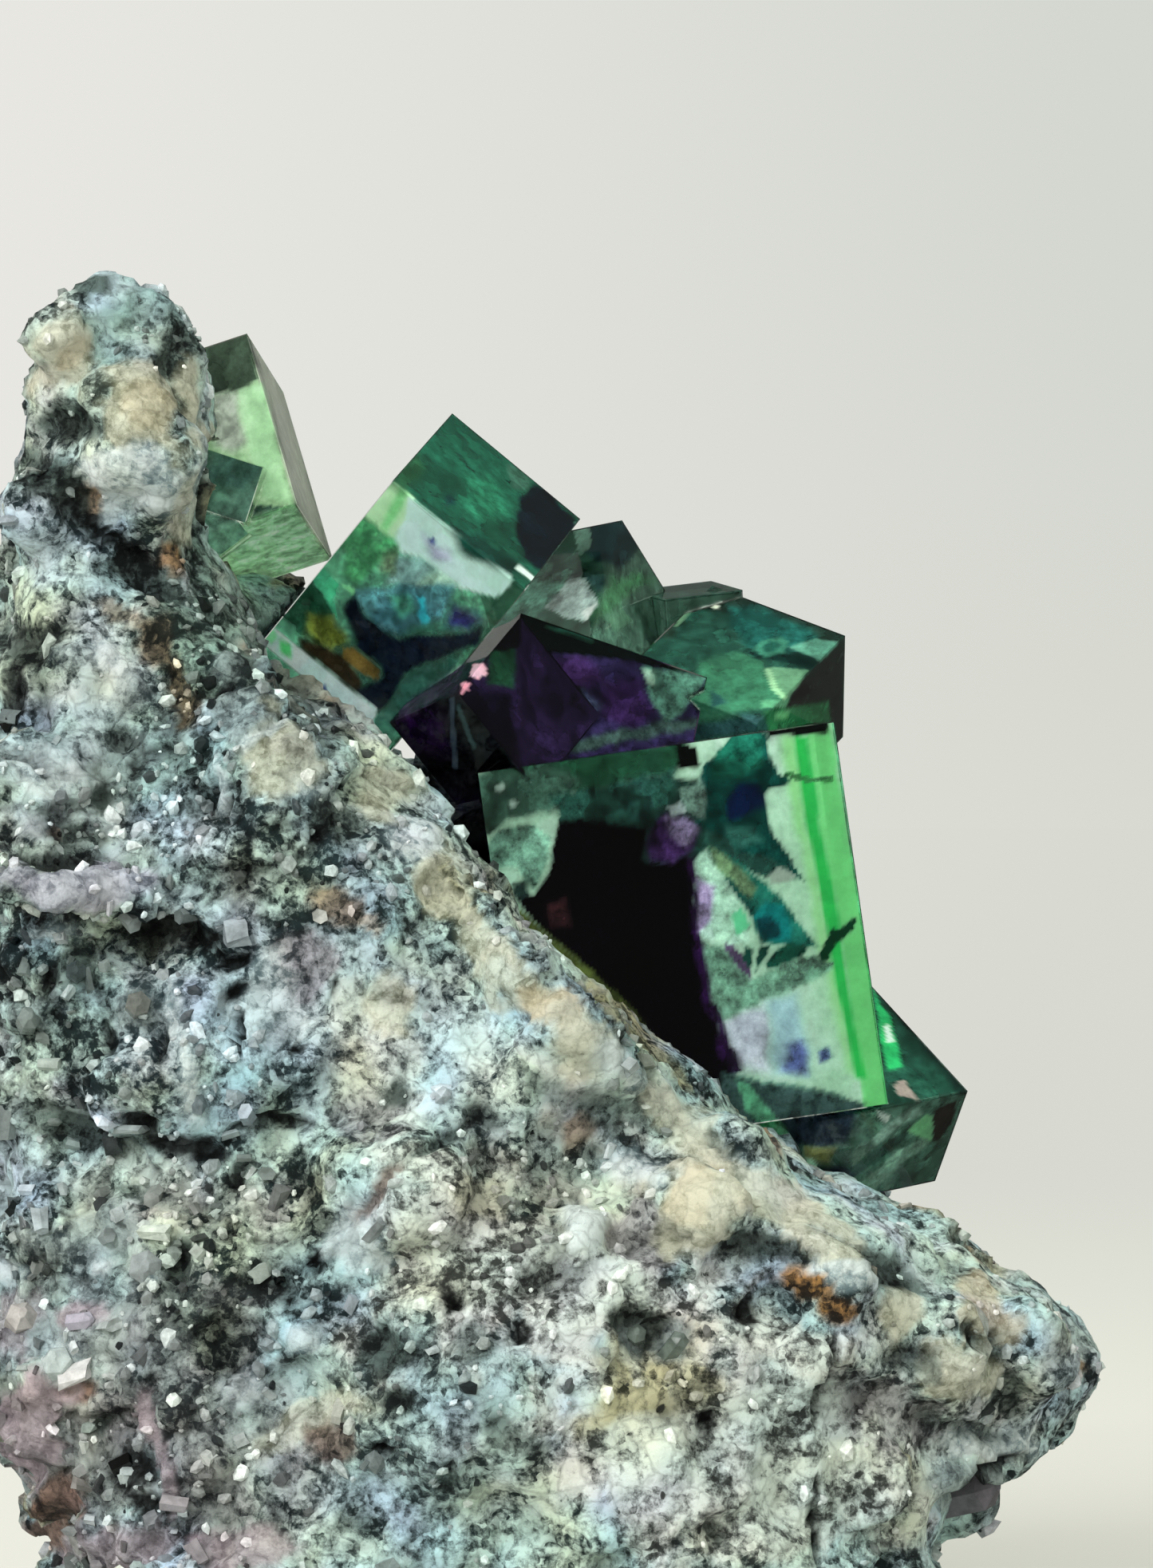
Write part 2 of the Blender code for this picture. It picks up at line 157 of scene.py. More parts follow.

# Marks in each crystal's veils: name, the colour that the eye sees, how milky it is, softness of the rim
# in pixels, how uneven it is, and its outline, across and down in turn in the photograph's pixels.
# Many marks are painted light: the glints, sparkles, sheens, highlights, shadows and lit parts that they are
# named for, reflections from inner faces, and the backdrop and rock seen through a face.
MARKS = {
    "great": (
        ("green_haze", "#B8F8BA", 0.66, 8, 0.1, (977, 921, 994, 921, 1010, 1028, 1025, 1102, 1036, 1169,
         1059, 1287, 1071, 1342, 1062, 1342, 1036, 1232, 1014, 1110, 1007, 1065, 988, 991)),
        ("green_rim", "#94F0A6", 0.66, 2, 0.1, (1010, 905, 1040, 903, 1060, 1030, 1075, 1120, 1092, 1220,
         1112, 1330, 1120, 1400, 1084, 1400, 1070, 1280, 1051, 1147, 1027, 1028)),
        ("green_stripe", "#3ED26E", 0.74, 3, 0.1, (994, 921, 1012, 921, 1020, 973, 1027, 1028, 1042, 1102,
         1051, 1147, 1060, 1213, 1070, 1280, 1086, 1350, 1072, 1350, 1059, 1287, 1046, 1232, 1036, 1169,
         1025, 1102, 1010, 1028, 1001, 973)),
        ("cross_crack", "#4F9464", 0.30, 1, 0.2, (983, 968, 1000, 972, 1018, 976, 1046, 974, 1046, 978,
         1018, 981, 998, 978, 983, 972)),
        ("lilac_low", "#D4DEEC", 0.72, 9, 0.4, (905, 1280, 962, 1256, 968, 1345, 922, 1336, 910, 1300)),
        ("blue_haze", "#B8DCE4", 0.72, 9, 0.3, (964, 1252, 1000, 1248, 1012, 1345, 972, 1345)),
        ("navy_spot", "#6A7CB0", 0.60, 8, 0.8, (983, 1308, 1004, 1302, 1012, 1345, 980, 1342)),
        ("blue_dust", "#6C7CB8", 0.30, 4, 0.9, (1022, 1318, 1034, 1314, 1040, 1330, 1026, 1332)),
        ("dark_surround", "#1E3E38", 0.88, 4, 0.6, (770, 985, 900, 970, 915, 1045, 884, 1062, 872, 1100,
         800, 1100)),
        ("between_teals", "#2C5C52", 0.80, 2, 0.7, (872, 1030, 915, 1048, 975, 1080, 1000, 1098,
         960, 1100, 900, 1075, 868, 1062)),
        ("turbid_band", "#7EAC98", 0.65, 4, 0.9, (880, 1180, 907, 1190, 940, 1227, 960, 1220, 1003, 1200,
         1043, 1200, 1040, 1213, 1007, 1237, 960, 1253, 913, 1277, 903, 1277, 893, 1233)),
        ("mint_block", "#BCE6D2", 0.72, 2, 0.6, (870, 1080, 885, 1062, 907, 1097, 927, 1133, 940, 1157,
         940, 1180, 913, 1183, 893, 1180, 875, 1173, 868, 1133)),
        ("lilac_in_block", "#A79CC0", 0.65, 4, 1.0, (870, 1093, 893, 1113, 897, 1147, 880, 1173, 873, 1167)),
        ("mint_facet", "#86F0C0", 0.60, 1, 0.1, (917, 1147, 930, 1137, 940, 1160, 923, 1173)),
        # Painted reflection: the two teal patches below show the inner faces mirrored, and the cyan mark in
        # the lower one is a painted highlight.
        ("lower_teal", "#2C8A7A", 0.75, 2, 0.5, (887, 1060, 910, 1067, 933, 1087, 960, 1107, 980, 1127,
         1020, 1180, 1027, 1187, 977, 1183, 953, 1180, 943, 1147, 927, 1127, 907, 1097, 893, 1077)),
        ("olive_glass", "#6E8E6C", 0.75, 3, 0.8, (887, 1060, 905, 1066, 928, 1088, 950, 1112, 940, 1128,
         918, 1110, 900, 1088)),
        ("cyan_highlight", "#189694", 0.80, 3, 0.4, (943, 1147, 960, 1130, 980, 1133, 993, 1163, 990, 1180,
         960, 1177)),
        ("teal_shadow", "#0F4E56", 0.85, 2, 0.5, (948, 1151, 962, 1146, 975, 1157, 978, 1174, 953, 1174)),
        ("shadow_spike", "#1B5A52", 0.85, 1, 0.3, (907, 1098, 920, 1104, 936, 1128, 950, 1142, 944, 1150,
         926, 1126)),
        ("upper_teal", "#0E4A44", 0.88, 1, 0.7, (880, 963, 893, 950, 913, 927, 933, 913, 960, 917,
         963, 940, 973, 967, 990, 980, 960, 990, 957, 995, 962, 1023, 968, 1047, 987, 1070, 1010, 1102,
         970, 1080, 958, 1073, 927, 1067, 913, 1053, 893, 1043, 873, 1037, 877, 1013, 875, 990, 880, 977)),
        ("upper_teal_lit", "#1F7460", 0.80, 5, 0.8, (893, 950, 920, 922, 952, 920, 954, 958, 930, 976,
         893, 980)),
        ("navy_heart", "#081C40", 0.92, 5, 0.5, (908, 1006, 927, 983, 953, 984, 958, 1012, 934, 1022,
         912, 1028)),
        ("teal_mist", "#3C7C70", 0.75, 6, 0.6, (905, 1036, 940, 1034, 956, 1052, 930, 1062, 908, 1050)),
        ("plum_blade", "#5E5070", 0.80, 1, 0.5, (907, 1182, 920, 1185, 933, 1200, 940, 1213, 942, 1227,
         927, 1217, 913, 1197)),
        ("blade_one", "#1A5246", 0.85, 1, 0.4, (929, 1202, 935, 1184, 943, 1188, 941, 1216)),
        ("blade_two", "#1A5246", 0.85, 1, 0.4, (952, 1183, 964, 1185, 958, 1200, 946, 1219, 947, 1200)),
        ("blade_three", "#1A5A4A", 0.85, 1, 0.5, (970, 1190, 990, 1181, 1004, 1182, 1013, 1190, 994, 1204,
         966, 1215, 958, 1208)),
        ("leaf_on_stripe", "#0C3A26", 0.92, 0.7, 0.1, (1025, 1198, 1035, 1178, 1043, 1163, 1052, 1166,
         1060, 1157, 1074, 1146, 1071, 1162, 1058, 1177, 1050, 1180, 1043, 1191, 1037, 1204, 1027, 1206)),
        ("turbid_corner", "#74A08E", 0.80, 3, 1.0, (607, 1067, 627, 1037, 670, 1033, 690, 1047, 693, 1077,
         673, 1113, 653, 1097, 647, 1087, 607, 1093)),
        ("dark_core", "#010003", 0.97, 2, 0.6, (693, 1060, 700, 1030, 717, 1013, 747, 1003, 773, 1000,
         793, 1013, 813, 1023, 807, 1053, 803, 1077, 820, 1083, 843, 1080, 863, 1070, 868, 1093,
         868, 1133, 875, 1173, 882, 1213, 890, 1253, 900, 1290, 913, 1323, 922, 1347, 930, 1440,
         893, 1440, 860, 1347, 793, 1273, 733, 1213, 687, 1173, 657, 1143, 640, 1113, 670, 1120,
         687, 1097, 693, 1080)),
        ("core_spike_one", "#060B0C", 0.94, 1, 0.3, (698, 1040, 711, 986, 722, 1018)),
        ("core_spike_two", "#060B0C", 0.94, 1, 0.3, (722, 1018, 741, 968, 747, 1008)),
        ("core_spike_three", "#060B0C", 0.94, 1, 0.3, (752, 1008, 777, 964, 774, 1004)),
        ("core_spike_four", "#060B0C", 0.94, 1, 0.3, (776, 1006, 812, 960, 798, 1018)),
        ("core_spike_five", "#060B0C", 0.94, 1, 0.3, (800, 1020, 842, 962, 818, 1026)),
        ("pale_fibre_one", "#4C8474", 0.85, 1, 0.3, (716, 1020, 728, 974, 734, 976, 724, 1016)),
        ("pale_fibre_two", "#4C8474", 0.85, 1, 0.3, (782, 1000, 806, 952, 812, 956, 790, 1004)),
        ("purple_patch", "#3E2858", 0.88, 4, 0.9, (813, 1080, 807, 1060, 817, 1037, 833, 1023, 853, 1020,
         873, 1037, 867, 1067, 843, 1080)),
        ("lavender_patch", "#857C9C", 0.75, 4, 1.0, (833, 1027, 860, 1023, 872, 1040, 860, 1060, 843, 1047)),
        ("foot_roof", "#385250", 0.85, 2, 0.7, (905, 1344, 918, 1347, 953, 1357, 993, 1360, 1060, 1377,
         1082, 1382, 1082, 1430, 900, 1440)),
        ("foot_roof_mint", "#5FA584", 0.80, 2, 0.6, (923, 1353, 938, 1358, 975, 1404, 962, 1416, 935, 1392)),
        ("foot_roof_edge", "#6A9488", 0.80, 1, 0.4, (918, 1344, 953, 1353, 993, 1357, 1060, 1373,
         1060, 1378, 993, 1362, 953, 1358, 918, 1349)),
        ("dark_left_of_teal", "#08201A", 0.90, 2, 0.4, (840, 934, 862, 930, 880, 958, 847, 960)),
        ("white_facet", "#B8CCC0", 0.70, 1, 0.2, (962, 1097, 977, 1086, 999, 1098, 970, 1110)),
        ("green_band_below_purple", "#2A6248", 0.80, 6, 0.6, (600, 960, 850, 905, 866, 940, 850, 968,
         747, 992, 640, 1000)),
        ("grey_corner", "#4E7868", 0.80, 6, 0.8, (594, 975, 680, 955, 727, 980, 693, 1020, 636, 1024,
         604, 1050)),
        ("fibrous_zone", "#32665A", 0.85, 6, 1.0, (690, 1000, 747, 988, 850, 962, 846, 1004, 800, 1028,
         747, 1026, 706, 1030)),
        ("dark_column", "#141018", 0.93, 3, 0.3, (556, 950, 592, 960, 600, 1020, 606, 1056, 580, 1075)),
        ("mint_chip", "#BFE8D4", 0.92, 1, 0.1, (611, 1094, 637, 1089, 649, 1097, 640, 1111, 616, 1107)),
        ("bubble", "#2A4440", 0.80, 2, 0.3, (643, 1106, 660, 1103, 664, 1122, 648, 1128)),
        ("speckles", "#B8D4C8", 0.90, 2, 0.3, (620, 984, 628, 980, 634, 986, 628, 993, 621, 992)),
        ("low_speckles", "#B8D4C8", 0.90, 2, 0.3, (635, 1006, 642, 1002, 648, 1008, 642, 1014)),
        ("white_bit", "#B8CCCC", 0.85, 2, 0.4, (837, 1013, 853, 1005, 861, 1017, 843, 1024)),
        ("grey_shards", "#7CA094", 0.80, 2, 0.9, (850, 990, 880, 975, 884, 993, 880, 1028, 860, 1014)),
        ("purple_edge", "#28103C", 0.82, 4, 0.9, (864, 1074, 872, 1074, 876, 1150, 886, 1188, 900, 1255,
         916, 1308, 932, 1342, 921, 1346, 903, 1312, 887, 1257, 872, 1190, 866, 1130)),
        ("black_hole", "#030806", 0.95, 2, 0.3, (847, 930, 873, 936, 878, 962, 850, 962)),
        ("rusty_shadow", "#3A2026", 0.85, 6, 0.9, (690, 1133, 710, 1129, 714, 1157, 693, 1160)),
        ("black_strip", "#050C0A", 0.95, 1, 0.2, (958, 912, 1038, 898, 1038, 919, 962, 922)),
        ("olive_rim", "#5A6A34", 0.85, 3, 0.8, (600, 1112, 624, 1112, 650, 1140, 680, 1165, 736, 1214,
         796, 1267, 812, 1296, 848, 1322, 884, 1360, 870, 1380, 780, 1310, 690, 1220, 640, 1170)),
    ),
    "left": (
        ("light_green_left", "#D2FFD2", 0.90, 2, 0.1, (490, 600, 520, 626, 508, 654, 494, 676, 468, 664,
         446, 654)),
        ("green_stripe", "#A0F0AC", 0.86, 4, 0.2, (502, 612, 512, 620, 500, 644, 486, 664, 478, 658,
         490, 636)),
        # Painted light: this bright band is the pale backdrop shining through the crystal.
        ("backlit_band", "#DAFFF4", 0.95, 2, 0.1, (512, 622, 640, 720, 640, 734, 621, 750, 586, 738,
         517, 733, 548, 714, 524, 697, 501, 692, 492, 678, 508, 650)),
        ("lilac_haze", "#CCD2EA", 0.75, 9, 0.4, (531, 668, 567, 688, 568, 704, 540, 700)),
        ("blue_speck", "#5A6AB0", 0.50, 2, 0.3, (538, 673, 545, 672, 547, 678, 540, 681)),
        ("grey_triangle", "#B8E0CC", 0.75, 4, 0.5, (520, 720, 548, 714, 580, 736, 526, 735)),
        ("blue_haze", "#9CC8C4", 0.72, 6, 0.5, (500, 696, 524, 697, 546, 714, 517, 732, 487, 728)),
        ("green_field", "#58AA78", 0.62, 5, 0.6, (452, 642, 497, 676, 503, 691, 482, 702, 446, 731,
         430, 720, 428, 688, 418, 682)),
        ("pinkish_patch", "#7EA07E", 0.55, 6, 0.7, (486, 690, 500, 692, 496, 716, 478, 712)),
        ("aqua_patch", "#78CCA4", 0.55, 3, 0.4, (398, 706, 420, 684, 433, 694, 430, 714, 423, 731,
         399, 710)),
        ("dark_rim", "#23543E", 0.80, 4, 0.7, (335, 782, 391, 716, 408, 744, 418, 771, 400, 786, 379, 796,
         346, 768)),
        # Painted refraction: this olive mark and the next, brown one show the rock seen through the crystal.
        ("olive_glow", "#76863A", 0.75, 7, 0.8, (386, 768, 417, 772, 434, 806, 420, 820, 386, 796)),
        ("brown_rock_seen_through", "#322A1C", 0.90, 4, 0.7, (376, 798, 400, 806, 430, 822, 456, 852, 452, 870,
         420, 848, 380, 814)),
        ("brown_bar", "#766434", 0.85, 2, 0.6, (430, 813, 444, 812, 477, 840, 474, 853, 449, 842, 430, 826)),
        ("teal_cloud", "#5E9AA0", 0.58, 6, 0.7, (444, 738, 508, 732, 570, 734, 556, 774, 526, 786,
         502, 798, 470, 786, 450, 760)),
        ("mint_in_cloud", "#6CC4A4", 0.50, 6, 0.6, (488, 748, 514, 746, 520, 768, 498, 776)),
        ("cyan_glint", "#4FE4EC", 0.25, 2, 0.3, (522, 748, 532, 750, 532, 762, 540, 778, 530, 784,
         522, 770, 526, 764)),
        ("violet_cloud", "#2E3068", 0.80, 8, 0.8, (568, 756, 592, 762, 602, 780, 586, 796, 562, 784)),
        ("navy_core", "#0C1726", 0.93, 4, 0.7, (430, 758, 446, 744, 458, 772, 500, 801, 530, 796,
         585, 795, 610, 780, 600, 812, 564, 820, 508, 843, 479, 895, 462, 895, 444, 865, 479, 847,
         476, 836, 444, 812)),
        ("mint_jag", "#55C298", 0.70, 1, 0.4, (390, 718, 399, 708, 426, 732, 418, 750, 424, 778, 412, 759,
         405, 741, 394, 734)),
        ("light_lozenge", "#8EE0A8", 0.60, 1, 0.2, (428, 732, 446, 735, 444, 745, 432, 739)),
        # Painted refraction: the strip shows the bright backdrop seen through the side face at a grazing
        # angle.
        ("strip", "#DCFFF6", 0.95, 1, 0.2, (320, 786, 338, 781, 474, 890, 466, 915, 445, 908, 320, 796)),
        ("strip_mint_end", "#98F4B4", 0.92, 2, 0.2, (322, 785, 340, 782, 350, 800, 342, 808, 322, 796)),
        ("strip_green", "#64D888", 0.92, 3, 0.3, (352, 800, 366, 806, 368, 824, 352, 818)),
        ("strip_blue", "#6478B8", 0.85, 2, 0.5, (396, 858, 408, 858, 411, 866, 400, 868)),
        # The top face's teal and navy below are partly its own colour and partly painted reflection of
        # darker surroundings; its glint is a painted glint.
        ("top_olive", "#34704E", 0.82, 8, 0.4, (486, 604, 520, 566, 534, 590, 508, 620)),
        ("top_light", "#2F8264", 0.80, 10, 0.6, (580, 600, 612, 596, 640, 640, 622, 660, 588, 640)),
        ("top_speck", "#17464A", 0.85, 4, 0.5, (556, 622, 568, 620, 572, 632, 560, 634)),
        ("top_low_dark", "#164C40", 0.85, 8, 0.6, (560, 660, 600, 672, 648, 706, 640, 722, 580, 690)),
        ("top_navy", "#061620", 0.95, 4, 0.6, (650, 622, 670, 606, 690, 620, 728, 662, 725, 682, 706, 714,
         684, 720, 658, 702, 646, 665)),
        ("top_bump", "#40705E", 0.85, 3, 0.5, (634, 582, 650, 584, 666, 598, 662, 613, 640, 611)),
        ("top_glint", "#E6F8F0", 0.95, 1, 0.1, (645, 714, 651, 708, 687, 739, 676, 737)),
        ("top_pale_edge", "#5A9080", 0.80, 1, 0.4, (720, 655, 744, 662, 733, 688, 723, 696)),
    ),
    "purple": (
        ("navy_left", "#0E1230", 0.90, 4, 0.5, (640, 812, 680, 822, 684, 866, 652, 920, 636, 970, 630, 860)),
        ("magenta", "#402A5C", 0.86, 8, 0.9, (687, 824, 732, 826, 756, 847, 737, 873, 694, 864)),
        ("deep_violet", "#34214E", 0.86, 9, 0.9, (760, 852, 803, 852, 824, 892, 789, 912, 756, 898)),
        ("grey_streak", "#46506E", 0.82, 4, 0.9, (683, 861, 732, 864, 757, 885, 746, 894, 713, 880,
         690, 873)),
        ("thin_light_line", "#3C5450", 0.84, 4, 0.9, (638, 948, 713, 926, 831, 905, 886, 900, 886, 912,
         827, 920, 713, 942, 642, 960)),
        ("black_facet", "#07100F", 0.96, 1, 0.2, (650, 762, 688, 772, 738, 786, 866, 840, 862, 846,
         791, 828, 652, 814)),
        ("green_sheen", "#1E4438", 0.90, 2, 0.5, (684, 785, 704, 786, 742, 798, 740, 804, 704, 794)),
        ("turbid_end", "#5E9080", 0.80, 2, 1.0, (804, 834, 849, 840, 888, 846, 852, 896, 831, 908,
         813, 862)),
        ("pale_crumbs", "#A8CCB8", 0.80, 2, 0.9, (806, 838, 818, 842, 820, 858, 812, 858)),
    ),
    "wedge": (
        ("dark_roof", "#07070C", 0.95, 1, 0.3, (570, 822, 602, 804, 641, 768, 654, 768, 652, 812, 614, 822)),
        ("roof_green", "#12342C", 0.90, 2, 0.4, (604, 790, 620, 786, 630, 796, 612, 800)),
        ("plum_side", "#43364E", 0.85, 4, 0.7, (494, 912, 508, 871, 561, 822, 586, 822, 574, 868,
         530, 890, 500, 910)),
        ("black_low", "#0A0716", 0.92, 5, 0.6, (480, 940, 527, 890, 574, 868, 644, 870, 640, 970, 540, 970)),
        ("violet_low", "#2C1244", 0.88, 8, 0.9, (503, 896, 538, 886, 560, 894, 562, 952, 512, 952,
         492, 934)),
        ("green_face", "#1E4834", 0.88, 3, 0.6, (612, 818, 645, 814, 645, 864, 612, 858)),
        ("pale_chips", "#A8C8B8", 0.88, 1, 0.7, (492, 884, 506, 850, 532, 832, 555, 819, 562, 826,
         538, 842, 514, 860, 497, 894)),
        # Painted glints: two bright pink spots.
        ("pink_glint", "#FFC6D6", 0.97, 0.5, 0.3, (593, 833, 607, 831, 611, 844, 600, 851, 590, 849)),
        ("pink_glint_two", "#FFB4C8", 0.97, 0.5, 0.3, (579, 857, 588, 855, 586, 865, 577, 870)),
        ("crack_one", "#64788A", 0.80, 1, 0.3, (563, 874, 570, 874, 573, 962, 567, 962)),
        ("crack_two", "#4C6E70", 0.80, 1, 0.3, (572, 884, 577, 882, 599, 938, 594, 941)),
    ),
    "upper": (
        ("top_dark", "#20362E", 0.85, 4, 0.6, (846, 734, 887, 724, 936, 744, 991, 768, 1062, 790,
         1058, 812, 1013, 798, 947, 784, 902, 766, 871, 766)),
        ("grey_left", "#3C5E50", 0.80, 6, 0.8, (780, 738, 846, 734, 852, 764, 840, 798, 804, 784, 776, 764)),
        ("teal_right", "#22625A", 0.80, 5, 0.7, (913, 758, 958, 764, 1026, 792, 1002, 818, 936, 809,
         913, 782)),
        ("mint_field", "#468A6C", 0.78, 4, 0.4, (876, 831, 924, 817, 956, 829, 962, 853, 986, 878,
         951, 888, 880, 903, 836, 910, 880, 851)),
        ("dark_wedge", "#0E2E2A", 0.90, 2, 0.5, (929, 815, 976, 819, 1028, 821, 1018, 839, 980, 830,
         947, 825)),
        ("oval_cell", "#4A967E", 0.80, 2, 0.4, (945, 812, 952, 802, 978, 797, 990, 804, 984, 818, 958, 825)),
        ("oval_inner", "#2A6A5C", 0.80, 2, 0.4, (954, 810, 962, 804, 976, 803, 980, 809, 972, 816,
         958, 818)),
        ("pale_facet", "#6EAE98", 0.80, 2, 0.5, (991, 811, 1024, 799, 1050, 804, 1027, 828, 1016, 822)),
        ("black_triangle", "#060606", 0.96, 1, 0.1, (988, 877, 1007, 855, 1019, 867, 991, 881)),
        ("green_facets", "#74A886", 0.80, 1, 0.3, (958, 839, 969, 837, 1014, 840, 985, 876, 969, 863)),
        ("facet_rim", "#A8D8AE", 0.85, 1, 0.3, (958, 840, 966, 839, 974, 862, 985, 873, 982, 877, 966, 864)),
        ("small_pale", "#6FB890", 0.80, 1, 0.3, (953, 878, 987, 876, 984, 885, 953, 887)),
        ("dark_streak", "#2A5A58", 0.85, 2, 0.4, (891, 863, 912, 880, 893, 888)),
        ("low_green", "#3A8A5C", 0.75, 3, 0.4, (956, 890, 1038, 881, 1038, 903, 960, 920)),
        ("low_green_light", "#78C48E", 0.75, 2, 0.3, (969, 893, 988, 890, 986, 900, 970, 902)),
        ("blue_grey_band", "#3A6668", 0.80, 4, 0.6, (826, 916, 956, 895, 958, 915, 836, 932)),
        # Painted glint and painted shade: light on one side of a pit and shade in it, with a painted sparkle
        # near by.
        ("pit_glint", "#E8F0E8", 0.97, 1, 0.1, (850, 749, 858, 743, 872, 754, 862, 759)),
        ("pit", "#060808", 0.97, 1, 0.1, (854, 758, 866, 756, 862, 766)),
        ("pit_side", "#7EAC88", 0.88, 1, 0.1, (851, 760, 865, 767, 846, 788)),
        ("sparkle", "#F0FFE6", 0.97, 1, 0.0, (893, 758, 900, 757, 901, 763, 894, 764)),
    ),
    "small": (
        ("misty_left", "#5E8E7E", 0.86, 6, 0.9, (630, 735, 662, 690, 722, 690, 728, 730, 700, 750,
         680, 790, 625, 825, 600, 805)),
        ("navy_roof", "#1C3234", 0.85, 5, 0.6, (736, 660, 782, 650, 806, 684, 776, 714, 734, 694)),
        ("green_glow", "#56906A", 0.75, 7, 0.6, (753, 751, 769, 724, 804, 720, 824, 729, 784, 746,
         769, 766, 745, 784)),
        ("dark_patch", "#365654", 0.80, 3, 0.5, (731, 722, 760, 724, 754, 745, 736, 730)),
        ("left_facet", "#6E9484", 0.80, 1, 0.4, (720, 660, 740, 663, 741, 684, 726, 700)),
        ("white_facet", "#A4B8B4", 0.85, 1, 0.6, (682, 764, 693, 751, 714, 726, 733, 728, 752, 760,
         733, 780, 707, 774)),
        # Painted glint on a corner.
        ("corner_glint", "#DCE6E2", 0.92, 1, 0.2, (730, 766, 749, 757, 737, 780)),
        ("light_lozenge", "#6C9A80", 0.80, 2, 0.4, (756, 770, 776, 763, 792, 778, 769, 790)),
    ),
    "foot": (
        ("right_dark_edge", "#16322C", 0.85, 4, 0.5, (1100, 1240, 1110, 1240, 1200, 1330, 1222, 1370,
         1200, 1372, 1180, 1340, 1120, 1272)),
        ("green_sliver", "#3FD888", 0.85, 2, 0.3, (1095, 1238, 1104, 1261, 1115, 1273, 1132, 1337,
         1113, 1341, 1103, 1306)),
        ("sliver_sparkle", "#E8FFF2", 0.97, 1, 0.1, (1107, 1286, 1114, 1284, 1121, 1306, 1111, 1308)),
        ("grey_roof", "#2A3848", 0.85, 5, 0.8, (916, 1343, 1062, 1361, 1080, 1384, 1062, 1430, 1036, 1438,
         988, 1430, 960, 1391)),
        ("mint_band", "#7CBE9A", 0.75, 3, 0.8, (912, 1340, 929, 1347, 996, 1428, 1000, 1449, 962, 1420,
         919, 1376)),
        ("yellow_glow", "#8C9460", 0.75, 4, 0.6, (1010, 1436, 1048, 1438, 1040, 1458, 1012, 1455)),
        ("navy_low", "#1C2842", 0.88, 5, 0.7, (1016, 1465, 1062, 1457, 1074, 1473, 1047, 1490, 1021, 1497)),
        ("white_bar", "#A8D8C0", 0.90, 1, 0.3, (1012, 1450, 1024, 1458, 1019, 1492, 1009, 1491)),
        ("streak_one", "#88AA9C", 0.80, 2, 0.7, (1062, 1446, 1110, 1408, 1152, 1386, 1156, 1394,
         1114, 1420, 1070, 1458)),
        ("streak_two", "#35564C", 0.80, 2, 0.7, (1070, 1462, 1116, 1424, 1156, 1398, 1160, 1406,
         1120, 1436, 1078, 1474)),
        ("streak_three", "#7CA290", 0.80, 2, 0.7, (1078, 1482, 1122, 1444, 1160, 1420, 1164, 1432,
         1126, 1462, 1090, 1500)),
        ("green_facet", "#8ED0A0", 0.80, 1, 0.3, (1136, 1416, 1160, 1395, 1169, 1398, 1167, 1430)),
        ("brown_facet", "#26221E", 0.93, 1, 0.3, (1169, 1391, 1198, 1378, 1194, 1406, 1176, 1430,
         1168, 1430)),
        ("pink_facet", "#C8BCB4", 0.85, 1, 0.3, (1120, 1359, 1133, 1353, 1152, 1382, 1125, 1374)),
        ("white_patch", "#D8E8E0", 0.92, 1, 0.2, (1098, 1391, 1115, 1399, 1110, 1407, 1101, 1401)),
    ),
    "pale": (
        ("lavender_left", "#C6CEC6", 0.55, 8, 0.4, (262, 494, 295, 490, 312, 556, 292, 568, 266, 560)),
        ("green_side", "#CCF4CC", 0.74, 3, 0.2, (298, 486, 328, 480, 359, 606, 366, 633, 331, 624,
         312, 560)),
        ("dark_top", "#46594A", 0.85, 1, 0.6, (254, 436, 309, 414, 325, 474, 296, 488, 262, 496)),
        ("side_strip", "#D6D8D0", 0.75, 1, 0.2, (311, 414, 355, 490, 408, 694, 376, 645, 331, 480)),
        ("dark_chip", "#4A6C60", 0.80, 1, 0.4, (310, 632, 351, 636, 335, 652, 303, 650)),
        ("green_foot", "#B4E2BE", 0.35, 3, 0.5, (298, 652, 370, 634, 404, 694, 378, 716, 290, 712)),
    ),
    "dark": (
        ("blue_top", "#50766E", 0.85, 4, 0.7, (258, 585, 289, 562, 333, 585, 303, 612, 258, 604)),
        ("pale_bar", "#80AE9E", 0.80, 2, 0.4, (270, 616, 298, 622, 296, 632, 268, 626)),
    ),
    "dark_low": (
        ("pale_foot", "#7EA898", 0.70, 3, 0.6, (262, 660, 300, 650, 296, 690, 268, 690)),
        # Painted highlight along an edge.
        ("edge_highlight", "#DCE8E4", 0.92, 1, 0.2, (250, 684, 256, 682, 276, 696, 273, 703)),
    ),
}

